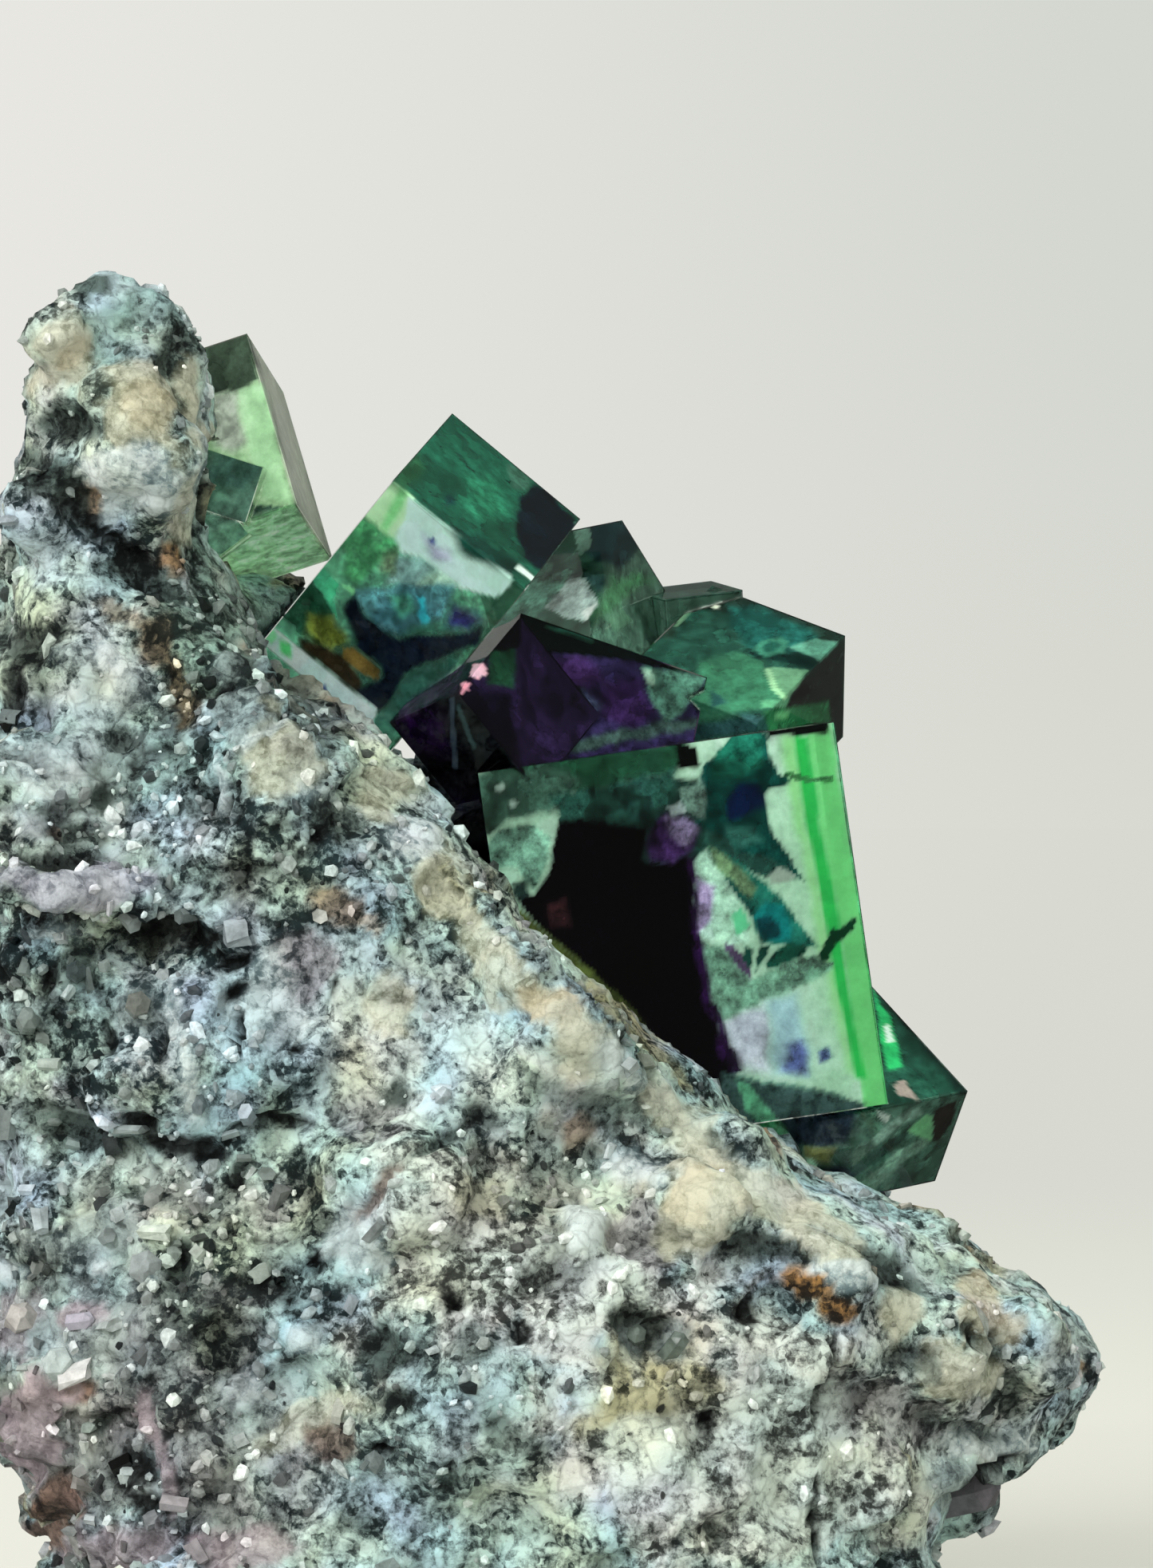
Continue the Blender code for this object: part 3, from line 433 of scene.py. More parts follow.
# The rock's stains, lumps and hollows as the photograph shows them, each laid over those before it:
# mineral, then for every patch its middle across and down in pixels, its half sizes, its turn in degrees,
# its strength and its rise in millimetres.
PATCHES = (
    ("greenish", (290, 790, 130, 90, 20, 0.75, 0.0), (170, 419, 66, 54, 30, 0.55, 0.1),
     (640, 1010, 60, 60, 40, 0.35, 0.0)),
    ("bluish", (300, 1270, 190, 150, 0, 0.6, 0.0), (110, 960, 120, 80, 0, 0.6, 0.0),
     (430, 1040, 120, 70, 30, 0.45, 0.0), (560, 1330, 110, 70, 40, 0.4, 0.0),
     (70, 670, 60, 60, -30, 0.7, 0.2)),
    ("warm", (700, 1600, 270, 150, 20, 0.6, 0.0), (960, 1820, 280, 130, 0, 0.55, 0.0),
     (1000, 1690, 70, 40, 20, 0.7, 0.3), (470, 1330, 50, 110, -20, 0.45, 0.1)),
    ("mauve", (820, 1545, 66, 46, 20, 0.75, -0.5), (1120, 1760, 90, 40, 25, 0.6, -0.3),
     (462, 1400, 44, 32, 0, 0.6, -0.3), (377, 1208, 40, 38, 0, 0.8, -0.2),
     (240, 1835, 56, 66, 0, 0.55, 0.0), (170, 1790, 190, 180, 0, 0.6, 0.0)),
    ("greenish", (180, 940, 130, 60, 0, 0.35, 0.0), (430, 1130, 90, 60, 0, 0.3, 0.0)),
    ("greyish", (393, 858, 95, 34, 39, 0.3, -1.3)),
    ("lavender", (115, 1115, 90, 26, -4, 0.9, 0.28), (20, 1105, 40, 18, 0, 0.8, 0.21)),
    ("greyish", (96, 1550, 84, 30, 0, 0.8, 0.2), (120, 1640, 150, 90, 0, 0.45, 0.0),
     (420, 1780, 220, 140, 0, 0.3, 0.0), (173, 1258, 32, 30, 0, 0.8, 0.5),
     (35, 1277, 24, 24, 0, 0.75, 0.4), (293, 833, 32, 24, 0, 0.7, 0.4),
     (306, 892, 52, 30, -10, 0.85, 0.5), (155, 870, 32, 34, 0, 0.8, 0.5), (86, 822, 34, 14, 10, 0.7, 0.3),
     (1212, 1872, 58, 30, 12, 0.9, 0.4), (1336, 1690, 34, 60, 0, 0.5, 0.0)),
    ("cream", (86, 436, 46, 54, -10, 0.85, 0.35)),
    ("tan", (92, 440, 26, 18, -20, 0.55, 0.1)),
    ("cream", (180, 522, 66, 60, 30, 0.9, 0.45)),
    ("tan", (196, 520, 40, 26, 30, 0.45, 0.0)),
    ("white", (172, 606, 76, 44, 5, 0.85, 0.45)),
    ("cream", (232, 640, 20, 50, 0, 0.7, 0.25), (231, 474, 12, 30, -5, 0.85, 0.2),
     (262, 556, 24, 22, 0, 0.85, 0.25), (560, 1095, 34, 46, -40, 0.6, 0.2),
     (492, 996, 36, 34, 0, 0.7, 0.2), (492, 1258, 26, 38, 0, 0.75, 0.15), (350, 950, 54, 44, 10, 0.8, 0.2)),
    ("white", (276, 990, 8, 50, -10, 0.8, 0.3), (320, 925, 60, 7, -32, 0.8, 0.3),
     (400, 1000, 40, 14, 30, 0.6, 0.15)),
    ("olive", (558, 1108, 26, 26, 0, 0.8, -0.5), (577, 1140, 34, 20, 40, 0.7, -0.3)),
    ("cream", (612, 1180, 50, 26, 42, 0.8, 0.25), (650, 1235, 60, 34, 40, 0.75, 0.25)),
    ("tan", (690, 1262, 46, 30, 20, 0.8, 0.4)),
    ("white", (520, 1054, 32, 28, 0, 0.8, 0.25)),
    ("cream", (740, 1320, 50, 36, 30, 0.8, 0.25)),
    ("white", (800, 1360, 70, 26, 44, 0.65, 0.15)),
    ("cream", (866, 1420, 40, 44, -30, 0.7, 0.2), (556, 1116, 44, 24, 48, 0.75, 0.1),
     (715, 1290, 46, 28, 45, 0.75, 0.15), (825, 1392, 46, 28, 45, 0.75, 0.15),
     (890, 1446, 46, 28, 42, 0.7, 0.15)),
    ("white", (946, 1480, 46, 18, 42, 0.6, 0.1)),
    ("cream", (872, 1508, 64, 56, -30, 0.95, 0.5)),
    ("tan", (862, 1496, 34, 30, -20, 0.5, 0.1)),
    ("cream", (960, 1500, 70, 22, 42, 0.7, 0.2), (1040, 1560, 72, 26, 35, 0.9, 0.4)),
    ("white", (1058, 1598, 44, 22, 10, 0.9, 0.3)),
    ("cream", (1140, 1640, 36, 32, 20, 0.9, 0.35), (1206, 1712, 36, 44, -35, 0.85, 0.3)),
    ("tan", (1242, 1640, 34, 54, -35, 0.7, 0.15)),
    ("white", (733, 1533, 28, 32, 0, 0.95, 0.4), (800, 1465, 34, 24, 20, 0.75, 0.25),
     (327, 1262, 56, 50, 0, 0.5, 0.1), (215, 1269, 9, 44, 0, 0.85, 0.3),
     (238, 1350, 10, 70, -8, 0.85, 0.3), (131, 829, 19, 19, 0, 0.95, 0.4), (58, 975, 40, 30, 0, 0.6, 0.2),
     (38, 1035, 20, 18, 0, 0.85, 0.3), (69, 1170, 48, 10, 4, 0.8, 0.3), (12, 1588, 22, 16, 0, 0.8, 0.25),
     (125, 1590, 12, 12, 0, 0.85, 0.25), (75, 1710, 26, 26, 20, 0.9, 0.3),
     (183, 1588, 26, 26, 0, 0.6, 0.15), (442, 1562, 46, 44, 20, 0.85, 0.25),
     (1240, 1811, 54, 20, 8, 0.9, 0.2), (381, 1677, 28, 18, 10, 0.75, 0.25),
     (305, 1735, 24, 26, 10, 0.7, 0.2)),
    ("cream", (390, 1780, 80, 26, -20, 0.6, 0.2)),
    ("rust", (148, 768, 40, 14, 20, 0.45, -0.2), (196, 800, 26, 34, 20, 0.55, -0.5),
     (226, 860, 22, 44, -12, 0.58, -0.6), (432, 1138, 38, 26, 0, 0.58, -0.2),
     (470, 1158, 18, 14, 0, 0.48, 0.0), (722, 1420, 22, 22, 0, 0.55, 0.0),
     (1014, 1611, 32, 17, 20, 0.95, 0.2), (1050, 1642, 27, 17, 20, 0.95, 0.2),
     (114, 629, 15, 24, -20, 0.72, 0.3), (221, 700, 22, 15, 10, 0.76, 0.1),
     (365, 727, 28, 12, -10, 0.56, 0.0), (1245, 1580, 26, 10, 30, 0.56, 0.0),
     (1358, 1712, 9, 9, 0, 0.64, 0.0)),
    # The brown patch at 473, 1498 is a painted shadow.
    ("brown", (66, 1892, 40, 48, 20, 0.9, 0.2), (92, 1742, 28, 22, -20, 0.9, -0.2),
     (415, 1812, 34, 20, 10, 0.75, -0.3), (77, 1042, 14, 12, 0, 0.8, -0.1),
     (473, 1498, 12, 44, 40, 0.7, -0.4)),
    ("olive", (792, 1748, 64, 54, 0, 0.75, 0.1), (883, 1741, 30, 30, 0, 0.6, -0.2),
     (600, 1500, 50, 30, -30, 0.45, 0.0), (772, 1262, 66, 14, 48, 0.85, -0.2),
     (836, 1330, 50, 10, 50, 0.8, -0.2)),
    ("pink", (35, 1777, 50, 76, 10, 0.95, 0.14), (23, 1650, 40, 40, 0, 0.6, 0.1),
     (308, 1940, 66, 30, 0, 0.8, 0.1), (150, 1945, 80, 30, 0, 0.75, 0.07),
     (185, 1770, 12, 40, -14, 0.85, 0.21), (208, 1850, 11, 60, -12, 0.85, 0.21),
     (104, 1654, 34, 20, 10, 0.8, 0.14)),
    # Painted shade: the black patches, and the dark ones that sink, darken hollows, the peak's left side and
    # the gap under the lump.
    ("dark", (83, 529, 40, 24, 0, 0.9, -0.5), (48, 586, 44, 26, 30, 0.85, -0.5),
     (94, 632, 20, 44, -15, 0.85, -0.7)),
    ("black", (130, 668, 36, 12, 30, 0.9, -0.9), (176, 700, 34, 13, 25, 0.85, -0.9)),
    ("dark", (190, 726, 60, 18, 15, 0.8, -0.5), (103, 367, 22, 10, 10, 0.9, 0.2),
     (128, 363, 13, 7, 0, 0.9, 0.2), (214, 426, 17, 16, 0, 0.85, -0.2), (206, 458, 15, 20, 0, 0.9, -0.3),
     (256, 432, 18, 16, 0, 0.8, 0.0), (160, 402, 10, 12, 0, 0.6, 0.0), (34, 800, 40, 28, 0, 0.85, -0.5)),
    ("black", (10, 870, 14, 50, 10, 0.8, -0.6), (292, 857, 26, 6, -22, 0.95, -1.0)),
    ("dark", (283, 802, 9, 6, 0, 0.8, -0.3), (154, 923, 26, 16, 0, 0.6, -0.2),
     (135, 1000, 22, 20, 0, 0.9, -0.4), (173, 958, 16, 12, 0, 0.7, -0.3),
     (115, 1042, 18, 12, 0, 0.8, -0.3)),
    ("black", (70, 1080, 64, 13, 2, 0.85, -0.9), (60, 1146, 66, 8, 8, 0.9, -1.0),
     (210, 1170, 74, 15, 4, 0.85, -0.9), (288, 1198, 24, 11, 5, 0.95, -1.0)),
    ("dark", (281, 1010, 5, 34, 0, 0.9, -0.6), (423, 1028, 48, 30, 0, 0.8, -0.3),
     (405, 1010, 24, 20, 0, 0.6, -0.3)),
    ("black", (396, 1050, 9, 13, 10, 0.95, -0.8)),
    ("dark", (375, 1078, 8, 24, 40, 0.7, -0.3), (96, 1219, 24, 22, 0, 0.85, 0.2)),
    ("black", (60, 1235, 14, 24, 20, 0.8, -0.8), (130, 1300, 12, 22, -20, 0.8, -0.8),
     (205, 1310, 9, 30, 0, 0.8, -0.8), (292, 1238, 11, 16, 20, 0.9, -0.8),
     (296, 1294, 7, 30, 2, 0.97, -1.4), (374, 1312, 9, 9, 20, 0.95, -0.9),
     (419, 1238, 11, 6, 0, 0.9, -0.6)),
    ("dark", (496, 1364, 16, 26, 30, 0.85, -0.5)),
    ("black", (232, 1442, 62, 15, 6, 0.85, -0.8), (340, 1412, 54, 9, -4, 0.8, -0.7)),
    ("dark", (77, 1419, 60, 20, 20, 0.75, -0.5)),
    ("black", (175, 1415, 26, 16, 0, 0.85, -0.8)),
    ("dark", (560, 1425, 60, 10, -35, 0.7, -0.5), (606, 1395, 30, 14, 30, 0.6, -0.3)),
    ("black", (298, 1469, 14, 13, 0, 0.9, -0.6)),
    ("dark", (265, 1505, 13, 18, 15, 0.85, -0.4), (222, 1580, 13, 34, 5, 0.8, -0.6),
     (190, 1505, 60, 12, 15, 0.6, -0.3)),
    ("black", (396, 1582, 13, 14, 0, 0.9, -0.8), (566, 1624, 18, 18, 0, 0.9, -0.9),
     (650, 1677, 18, 14, 0, 0.95, -0.9)),
    ("dark", (481, 1690, 26, 30, 0, 0.85, -0.5), (500, 1754, 30, 20, 10, 0.85, -0.5),
     (592, 1682, 24, 32, 0, 0.75, 0.1), (640, 1810, 36, 26, 30, 0.7, -0.2),
     (560, 1850, 14, 20, 10, 0.8, -0.4)),
    ("black", (480, 1818, 14, 14, 0, 0.9, -0.7)),
    ("dark", (330, 1620, 60, 18, 20, 0.55, -0.3), (123, 1786, 34, 9, -32, 0.9, -0.3)),
    ("black", (162, 1840, 28, 36, 10, 0.85, -0.8), (177, 1890, 28, 16, 20, 0.85, -0.7)),
    ("dark", (450, 1905, 30, 12, 20, 0.5, -0.2), (690, 1600, 40, 20, 0, 0.4, -0.2),
     (962, 1566, 60, 20, 8, 0.85, -0.5), (1110, 1590, 46, 15, 32, 0.8, -0.5),
     (1144, 1593, 36, 18, 35, 0.7, -0.4)),
    ("black", (940, 1638, 22, 18, 10, 0.9, -0.9)),
    ("dark", (806, 1664, 44, 32, 5, 0.85, -0.9)),
    ("greyish", (797, 1672, 17, 18, 0, 0.95, 0.3), (846, 1685, 17, 28, 35, 0.95, 0.3)),
    ("dark", (1150, 1700, 44, 24, 25, 0.7, -0.4), (1234, 1680, 10, 34, -30, 0.85, -0.5),
     (1262, 1752, 34, 24, 20, 0.8, -0.3), (1210, 1790, 60, 12, 12, 0.6, -0.3),
     (700, 1370, 60, 22, 25, 0.6, -0.3), (760, 1400, 50, 26, 20, 0.6, -0.2),
     (906, 1440, 30, 12, 50, 0.6, -0.3)),
    ("black", (1038, 1730, 6, 58, 5, 0.95, -1.2), (1024, 1910, 6, 60, 2, 0.95, -1.2),
     (888, 1786, 12, 14, 0, 0.9, -0.8), (1245, 1845, 50, 8, -28, 0.9, -0.8)),
    ("dark", (900, 1920, 22, 10, 50, 0.7, -0.5)),
)
# Light and dark tone of each mineral, how smooth its surface is, and how light it is on the whole.
MINERALS = {
    "greenish": ("#84A898", "#1A3029", 0.15, 0.42),
    "bluish": ("#C2D6DF", "#20353E", 0.0, 0.58),
    "warm": ("#D8DACD", "#3E3E38", 0.0, 0.64),
    "mauve": ("#9A989C", "#2A2C30", 0.15, 0.45),
    "lavender": ("#BEC0CE", "#5A606E", 0.45, 0.62),
    "greyish": ("#A4B4B2", "#2E3C3E", 0.55, 0.50),
    "cream": ("#CACBB6", "#74785E", 0.55, 0.68),
    "tan": ("#CBBE9E", "#84795A", 0.60, 0.66),
    "white": ("#CEDAD9", "#70868A", 0.30, 0.72),
    "rust": ("#AA7830", "#261A0A", 0.1, 0.46),
    "brown": ("#866858", "#281C16", 0.6, 0.50),
    "olive": ("#B2AE82", "#2A2C18", 0.0, 0.47),
    # dark stands for dark grains where it rises and for painted shade where it sinks; black is painted shade
    # in hollows.
    "dark": ("#546860", "#121E1B", 0.20, 0.42),
    "black": ("#1E2A27", "#060A09", 0.4, 0.36),
    "pink": ("#B6A8AE", "#6E6268", 0.60, 0.58),
}
# Minerals on the sides that the photograph doesn't show: name, size in millimetres, seed, how far the
# pattern must rise for it to appear, and rise in millimetres.
FAR_SIDE = (
    ("greenish", 7.0, 42, 0.05, 0.0),
    ("warm", 6.0, 48, 0.00, 0.0),
    ("cream", 4.5, 41, 0.20, 0.3),
    ("lavender", 3.5, 44, 0.28, 0.1),
    ("white", 3.6, 46, 0.25, 0.3),
    ("olive", 3.0, 47, 0.36, 0.0),
    ("rust", 2.4, 43, 0.38, -0.1),
    # The dark row darkens the hollows that it sinks, as painted shade.
    ("dark", 3.2, 45, 0.30, -0.5),
)
# Light and dark tone of the rock where no patch is, and how light it is on the whole.
ROCK_LIGHT, ROCK_DARK = "#C4DDD5", "#152828"
ROCK_LEVEL = 0.54
# The rock's mesh in millimetres: its cells, its least and greatest relief, and its gap to the crystals.
ROCK_CELL = 0.40
RELIEF_RANGE = (-2.2, 0.9)
SOCKET_GAP = 0.05
# Broken grains in three sizes: size in millimetres, seed, and how much they lean.
BIG_GRAINS = (6.0, 1, 0.09)
MIDDLE_GRAINS = (2.6, 6, 0.15)
LITTLE_GRAINS = (1.15, 9, 0.22)
# In the photograph's pixels: from where the rock is splintery to the left, over how far that fades, and
# from where on downwards quartz chips are common.
SPLINTERY_FROM, SPLINTERY_FADE = 520, 400
CHIPS_FROM, CHIPS_COMMON = 1000, 1300
# Loose grains and quartz chips: how many, and the least and greatest radius in millimetres.
GRAIN_COUNT = 3200
CHIP_COUNT = 900
GRAIN_RADIUS = (0.12, 0.52)
# A chip's length in radii.
CHIP_LENGTH = 2.6
# The seed that places and breaks them, how many more are small, how they are stretched and dented, and
# how deep they sink, each in parts of their size.
GRAIN_SEED = 5
GRAIN_SMALLNESS = 1.4
GRAIN_STRETCH = (0.55, 1.35)
GRAIN_DENT = 0.22
GRAIN_SINK = 0.05
# Quartz crystals in the druse: middle across and down in the photograph's pixels, radius and length in
# millimetres, turn in the picture and lean towards the eye in degrees, and tone.
QUARTZ = (
    (183, 1590, 0.85, 1.8, 8, 78, "#98A0A0"),
    (76, 1712, 0.80, 2.0, -30, 50, "#C2CECC"),
    (26, 1655, 0.80, 1.8, 20, 60, "#B4B0AC"),
    (104, 1655, 0.45, 1.2, 80, 40, "#ACA8B4"),
    (96, 1219, 0.55, 1.2, 0, 75, "#4A5858"),
    (36, 1278, 0.60, 1.2, 30, 70, "#7C8884"),
    (173, 1260, 0.65, 1.2, 15, 72, "#7E827C"),
    (797, 1674, 0.50, 1.2, 10, 66, "#748078"),
    (846, 1686, 0.50, 1.7, 35, 40, "#6C7870"),
    (1214, 1868, 1.20, 3.0, 74, 30, "#77737A"),
)
# A quartz crystal's point: its height in radii, how far it narrows both ways, and its bevel in
# millimetres; and how deep the crystal sinks into the rock, in parts of its length.
QUARTZ_TIP = 0.6
QUARTZ_NARROWING = (0.25, 0.4, 1.0)
QUARTZ_BEVEL = 0.02
QUARTZ_SINK = 0.2


def linear(hex_colour):
    """A colour written as sRGB hex, as linear red, green and blue."""
    parts = [int(hex_colour[i:i + 2], 16) / 255 for i in (1, 3, 5)]
    return np.array([c / 12.92 if c <= 0.04045 else ((c + 0.055) / 1.055) ** 2.4 for c in parts])


def shade(hex_colour):
    return (*linear(hex_colour), 1.0)


def spin_of(crystal):
    return Euler([math.radians(a) for a in CRYSTALS[crystal][2]], "XYZ").to_matrix()


def cluster_low():
    """The low corner of the lower crystals' box in the drawing frame."""
    corners = []
    for name, (centre, size, _) in CRYSTALS.items():
        if name not in PALE_GROUP:
            halves = [Vector(size) * Vector(signs) / 2 for signs in product((-1, 1), repeat=3)]
            corners += [Vector(centre) + spin_of(name) @ half for half in halves]
    return Vector([min(corner[i] for corner in corners) for i in range(3)])


# How the row's frame is shifted against the drawing frame, read where both have the crystals' low corner.
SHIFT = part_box("fluorite_cluster")[0] / MM - cluster_low()


def place(point):
    """From the drawing frame to metres in the row's frame."""
    return (Vector(point) + SHIFT) * MM


# Patterns in space

# Large odd numbers that mix a cell's place and seed, and the shifts and factors that stir them.
HASH_PLACE = (73856093, 19349663, 83492791)
HASH_SEED = 2654435
HASH_ROUNDS = ((13, 1274126177), (16, 1103515245))
# How far apart the patterns of two seeds lie, in cells.
SEED_STEP = 31.7
# More cells or millimetres than any pattern asks for.
FAR_AWAY = 9.0


def hashed(cells, seed):
    """A number from 0 to 1 for each cell of a grid."""
    x, y, z = (cells[..., i].astype(np.int64) * HASH_PLACE[i] for i in range(3))
    value = (x ^ y ^ z ^ (seed + 1) * HASH_SEED) & 0xFFFFFFFF
    for shift, factor in HASH_ROUNDS:
        value = ((value ^ (value >> shift)) * factor) & 0xFFFFFFFF
    return ((value >> 8) & 0xFFFFFF) / 0xFFFFFF


def cloud(points, size, seed=0, octaves=1):
    """Smooth noise from -1 to 1 with blots of about that size."""
    total = np.zeros(len(points))
    for octave in range(octaves):
        spot = points / size * 2 ** octave + SEED_STEP * (seed + 1)
        cell = np.floor(spot)
        part = spot - cell
        part = part * part * (3 - 2 * part)
        value = np.zeros(len(points))
        for step in product((0, 1), repeat=3):
            share = np.prod(np.where(np.array(step) == 1, part, 1 - part), axis=1)
            value += share * hashed(cell + step, seed + octave)
        total += (value * 2 - 1) / 2 ** octave
    return total


def grains(points, size, seed=0):
    """For each point: how far the nearest of scattered centres is, the next, the nearest one's number
    and the way from it."""
    spot = points / size
    base = np.floor(spot)
    near = np.full(len(points), FAR_AWAY)
    far = near.copy()
    tag = np.zeros(len(points))
    way = np.zeros((len(points), 3))
    for step in product((-1, 0, 1), repeat=3):
        cell = base + step
        centre = cell + np.stack([hashed(cell, seed + i) for i in (1, 2, 3)], axis=1)
        away = np.linalg.norm(spot - centre, axis=1)
        closer = away < near
        far = np.where(closer, near, np.minimum(far, away))
        tag = np.where(closer, hashed(cell, seed + 4), tag)
        way = np.where(closer[:, None], spot - centre, way)
        near = np.where(closer, away, near)
    return near, far, tag, way


def ramp(value, low, high):
    """0 below low, 1 above high and smooth between."""
    part = np.clip((value - low) / (high - low), 0, 1)
    return part * part * (3 - 2 * part)


def mixed(first, second, share):
    return first + (second - first) * share[:, None]


def seen_at(points):
    """Where the eye sees points of the drawing frame, in the photograph's pixels."""
    scale = -EYE.y / (points[:, 1] - EYE.y) / MM_PER_PIXEL
    across = PHOTO_WIDTH / 2 + (points[:, 0] - EYE.x) * scale
    down = PHOTO_HEIGHT / 2 - (points[:, 2] - EYE.z) * scale
    return np.stack([across, down], axis=1)


def depth_inside(spots, outline):
    """How far inside a closed outline each spot is, in its own unit, and less than 0 outside."""
    inside = np.zeros(len(spots), bool)
    nearest = np.full(len(spots), 1e9)
    corners = np.array(outline, float).reshape(-1, 2)
    for start, end in zip(corners, np.roll(corners, -1, axis=0)):
        edge = end - start
        along = np.clip(((spots - start) @ edge) / (edge @ edge), 0, 1)
        nearest = np.minimum(nearest, np.linalg.norm(spots - start - along[:, None] * edge, axis=1))
        crosses = (start[1] > spots[:, 1]) != (end[1] > spots[:, 1])
        rise = edge[1] if edge[1] else 1e-9
        inside ^= crosses & (spots[:, 0] < start[0] + (spots[:, 1] - start[1]) / rise * edge[0])
    return np.where(inside, nearest, -nearest)


# Helpers for objects

def node(tree, kind, settings=None, **sockets):
    """Add a node. settings are its own properties, and sockets are values or links by input name."""
    made = tree.nodes.new(kind)
    for key, value in (settings or {}).items():
        setattr(made, key, value)
    for key, value in sockets.items():
        socket = made.inputs[int(key[1:])] if key[1:].isdigit() else made.inputs[key.replace("_", " ")]
        if isinstance(value, bpy.types.NodeSocket):
            tree.links.new(value, socket)
        else:
            socket.default_value = value
    return made


def new_material(name):
    material = bpy.data.materials.new(name)
    material.use_nodes = True
    material.node_tree.nodes.clear()
    return material, material.node_tree


def output(tree, surface=None, volume=None):
    made = node(tree, "ShaderNodeOutputMaterial")
    if surface:
        tree.links.new(surface, made.inputs["Surface"])
    if volume:
        tree.links.new(volume, made.inputs["Volume"])


def attribute(tree, name, socket="Fac"):
    return node(tree, "ShaderNodeAttribute", {"attribute_name": name}).outputs[socket]


def noise(tree, spot, **settings):
    return node(tree, "ShaderNodeTexNoise", Vector=spot, **settings).outputs["Fac"]


def times_plus(tree, value, factor, extra):
    """value * factor + extra."""
    return node(tree, "ShaderNodeMath", {"operation": "MULTIPLY_ADD"}, _0=value, _1=factor,
                _2=extra).outputs["Value"]


def between(tree, value, low, high, to_low=0.0, to_high=1.0, shape="LINEAR"):
    """The range from low to high laid over the one from to_low to to_high."""
    return node(tree, "ShaderNodeMapRange", {"interpolation_type": shape}, Value=value, From_Min=low,
                From_Max=high, To_Min=to_low, To_Max=to_high).outputs["Result"]


def scaled(tree, colour, factor):
    return node(tree, "ShaderNodeVectorMath", {"operation": "SCALE"}, _0=colour,
                Scale=factor).outputs["Vector"]


def mixed_colour(tree, share, first, second):
    return node(tree, "ShaderNodeMix", {"data_type": "RGBA"}, _0=share, _6=first, _7=second).outputs[2]


def mixed_shader(tree, share, first, second):
    return node(tree, "ShaderNodeMixShader", _0=share, _1=first, _2=second).outputs["Shader"]


def object_place(tree):
    return node(tree, "ShaderNodeTexCoord").outputs["Object"]


def crystal_matrix(name):
    """From millimetres along the crystal's own edges to metres in the row's frame."""
    return Matrix.Translation(place(CRYSTALS[name][0])) @ spin_of(name).to_4x4() @ Matrix.Scale(MM, 4)


def depth_in_crystal(points, name):
    """How far inside the crystal's box points of the drawing frame are, and less than 0 outside."""
    centre, size, _ = CRYSTALS[name]
    over = np.abs((points - np.array(centre)) @ np.array(spin_of(name))) - np.array(size) / 2
    outside = np.linalg.norm(np.maximum(over, 0), axis=1)
    return -(outside + np.minimum(over.max(axis=1), 0))


def deselect():
    bpy.ops.object.select_all(action="DESELECT")


def active(obj):
    deselect()
    obj.select_set(True)
    bpy.context.view_layer.objects.active = obj


def apply_modifier(obj, kind, **settings):
    modifier = obj.modifiers.new(kind.lower(), kind)
    for key, value in settings.items():
        setattr(modifier, key, value)
    active(obj)
    bpy.ops.object.modifier_apply(modifier=modifier.name)


def change_mesh(obj, tool, **settings):
    """Use one of Blender's mesh tools on the whole mesh."""
    active(obj)
    bpy.ops.object.mode_set(mode="EDIT")
    bpy.ops.mesh.select_all(action="SELECT")
    tool(**settings)
    bpy.ops.object.mode_set(mode="OBJECT")


def points_of(obj):
    """The mesh's points and normals in the drawing frame, in millimetres."""
    count = len(obj.data.vertices)
    points, normals = np.empty(count * 3), np.empty(count * 3)
    obj.data.vertices.foreach_get("co", points)
    obj.data.vertices.foreach_get("normal", normals)
    return points.reshape(-1, 3) / MM - np.array(SHIFT), normals.reshape(-1, 3)


def set_points(obj, points):
    obj.data.vertices.foreach_set("co", ((points + np.array(SHIFT)) * MM).ravel())
    obj.data.update()


def keep_colour(obj, name, colours):
    layer = obj.data.color_attributes.new(name, "FLOAT_COLOR", "POINT")
    layer.data.foreach_set("color", np.hstack([colours, np.ones((len(colours), 1))]).ravel())


def keep_number(obj, name, values):
    layer = obj.data.attributes.new(name, "FLOAT", "POINT")
    layer.data.foreach_set("value", values)


def finish_piece(obj, material, replaces=()):
    obj.data.materials.clear()
    obj.data.materials.append(material)
    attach(obj, "root")
    if replaces:
        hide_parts(*replaces)
    return obj


# Materials of the fluorite

# Where a veil's finest noise begins and ends, and how far that swings its light.
VEIL_NOISE = (0.32, 0.68)
VEIL_SWING = (-0.8, 0.9)


def clear_fluorite(name, tint, density):
    """Clear fluorite with flat growth faces: bright and sharp, and its tint deepens with the way through."""
    material, tree = new_material(name)
    steps = noise(tree, object_place(tree), Scale=700.0, Detail=4.0)
    bump = node(tree, "ShaderNodeBump", Height=steps, Strength=0.10, Distance=0.0001)
    shader = node(tree, "ShaderNodeBsdfPrincipled", Base_Color=(1, 1, 1, 1), Roughness=0.02,
                  IOR=FLUORITE_IOR, Transmission_Weight=1.0, Normal=bump.outputs["Normal"])
    volume = node(tree, "ShaderNodeVolumeAbsorption", Color=shade(tint), Density=density)
    output(tree, shader.outputs["BSDF"], volume.outputs["Volume"])
    return material


def colour_zone(name, tint, density):
    """A growth zone inside a crystal: no surface of its own, only a deeper colour."""
    material, tree = new_material(name)
    volume = node(tree, "ShaderNodeVolumeAbsorption", Color=shade(tint), Density=density)
    output(tree, None, volume.outputs["Volume"])
    return material


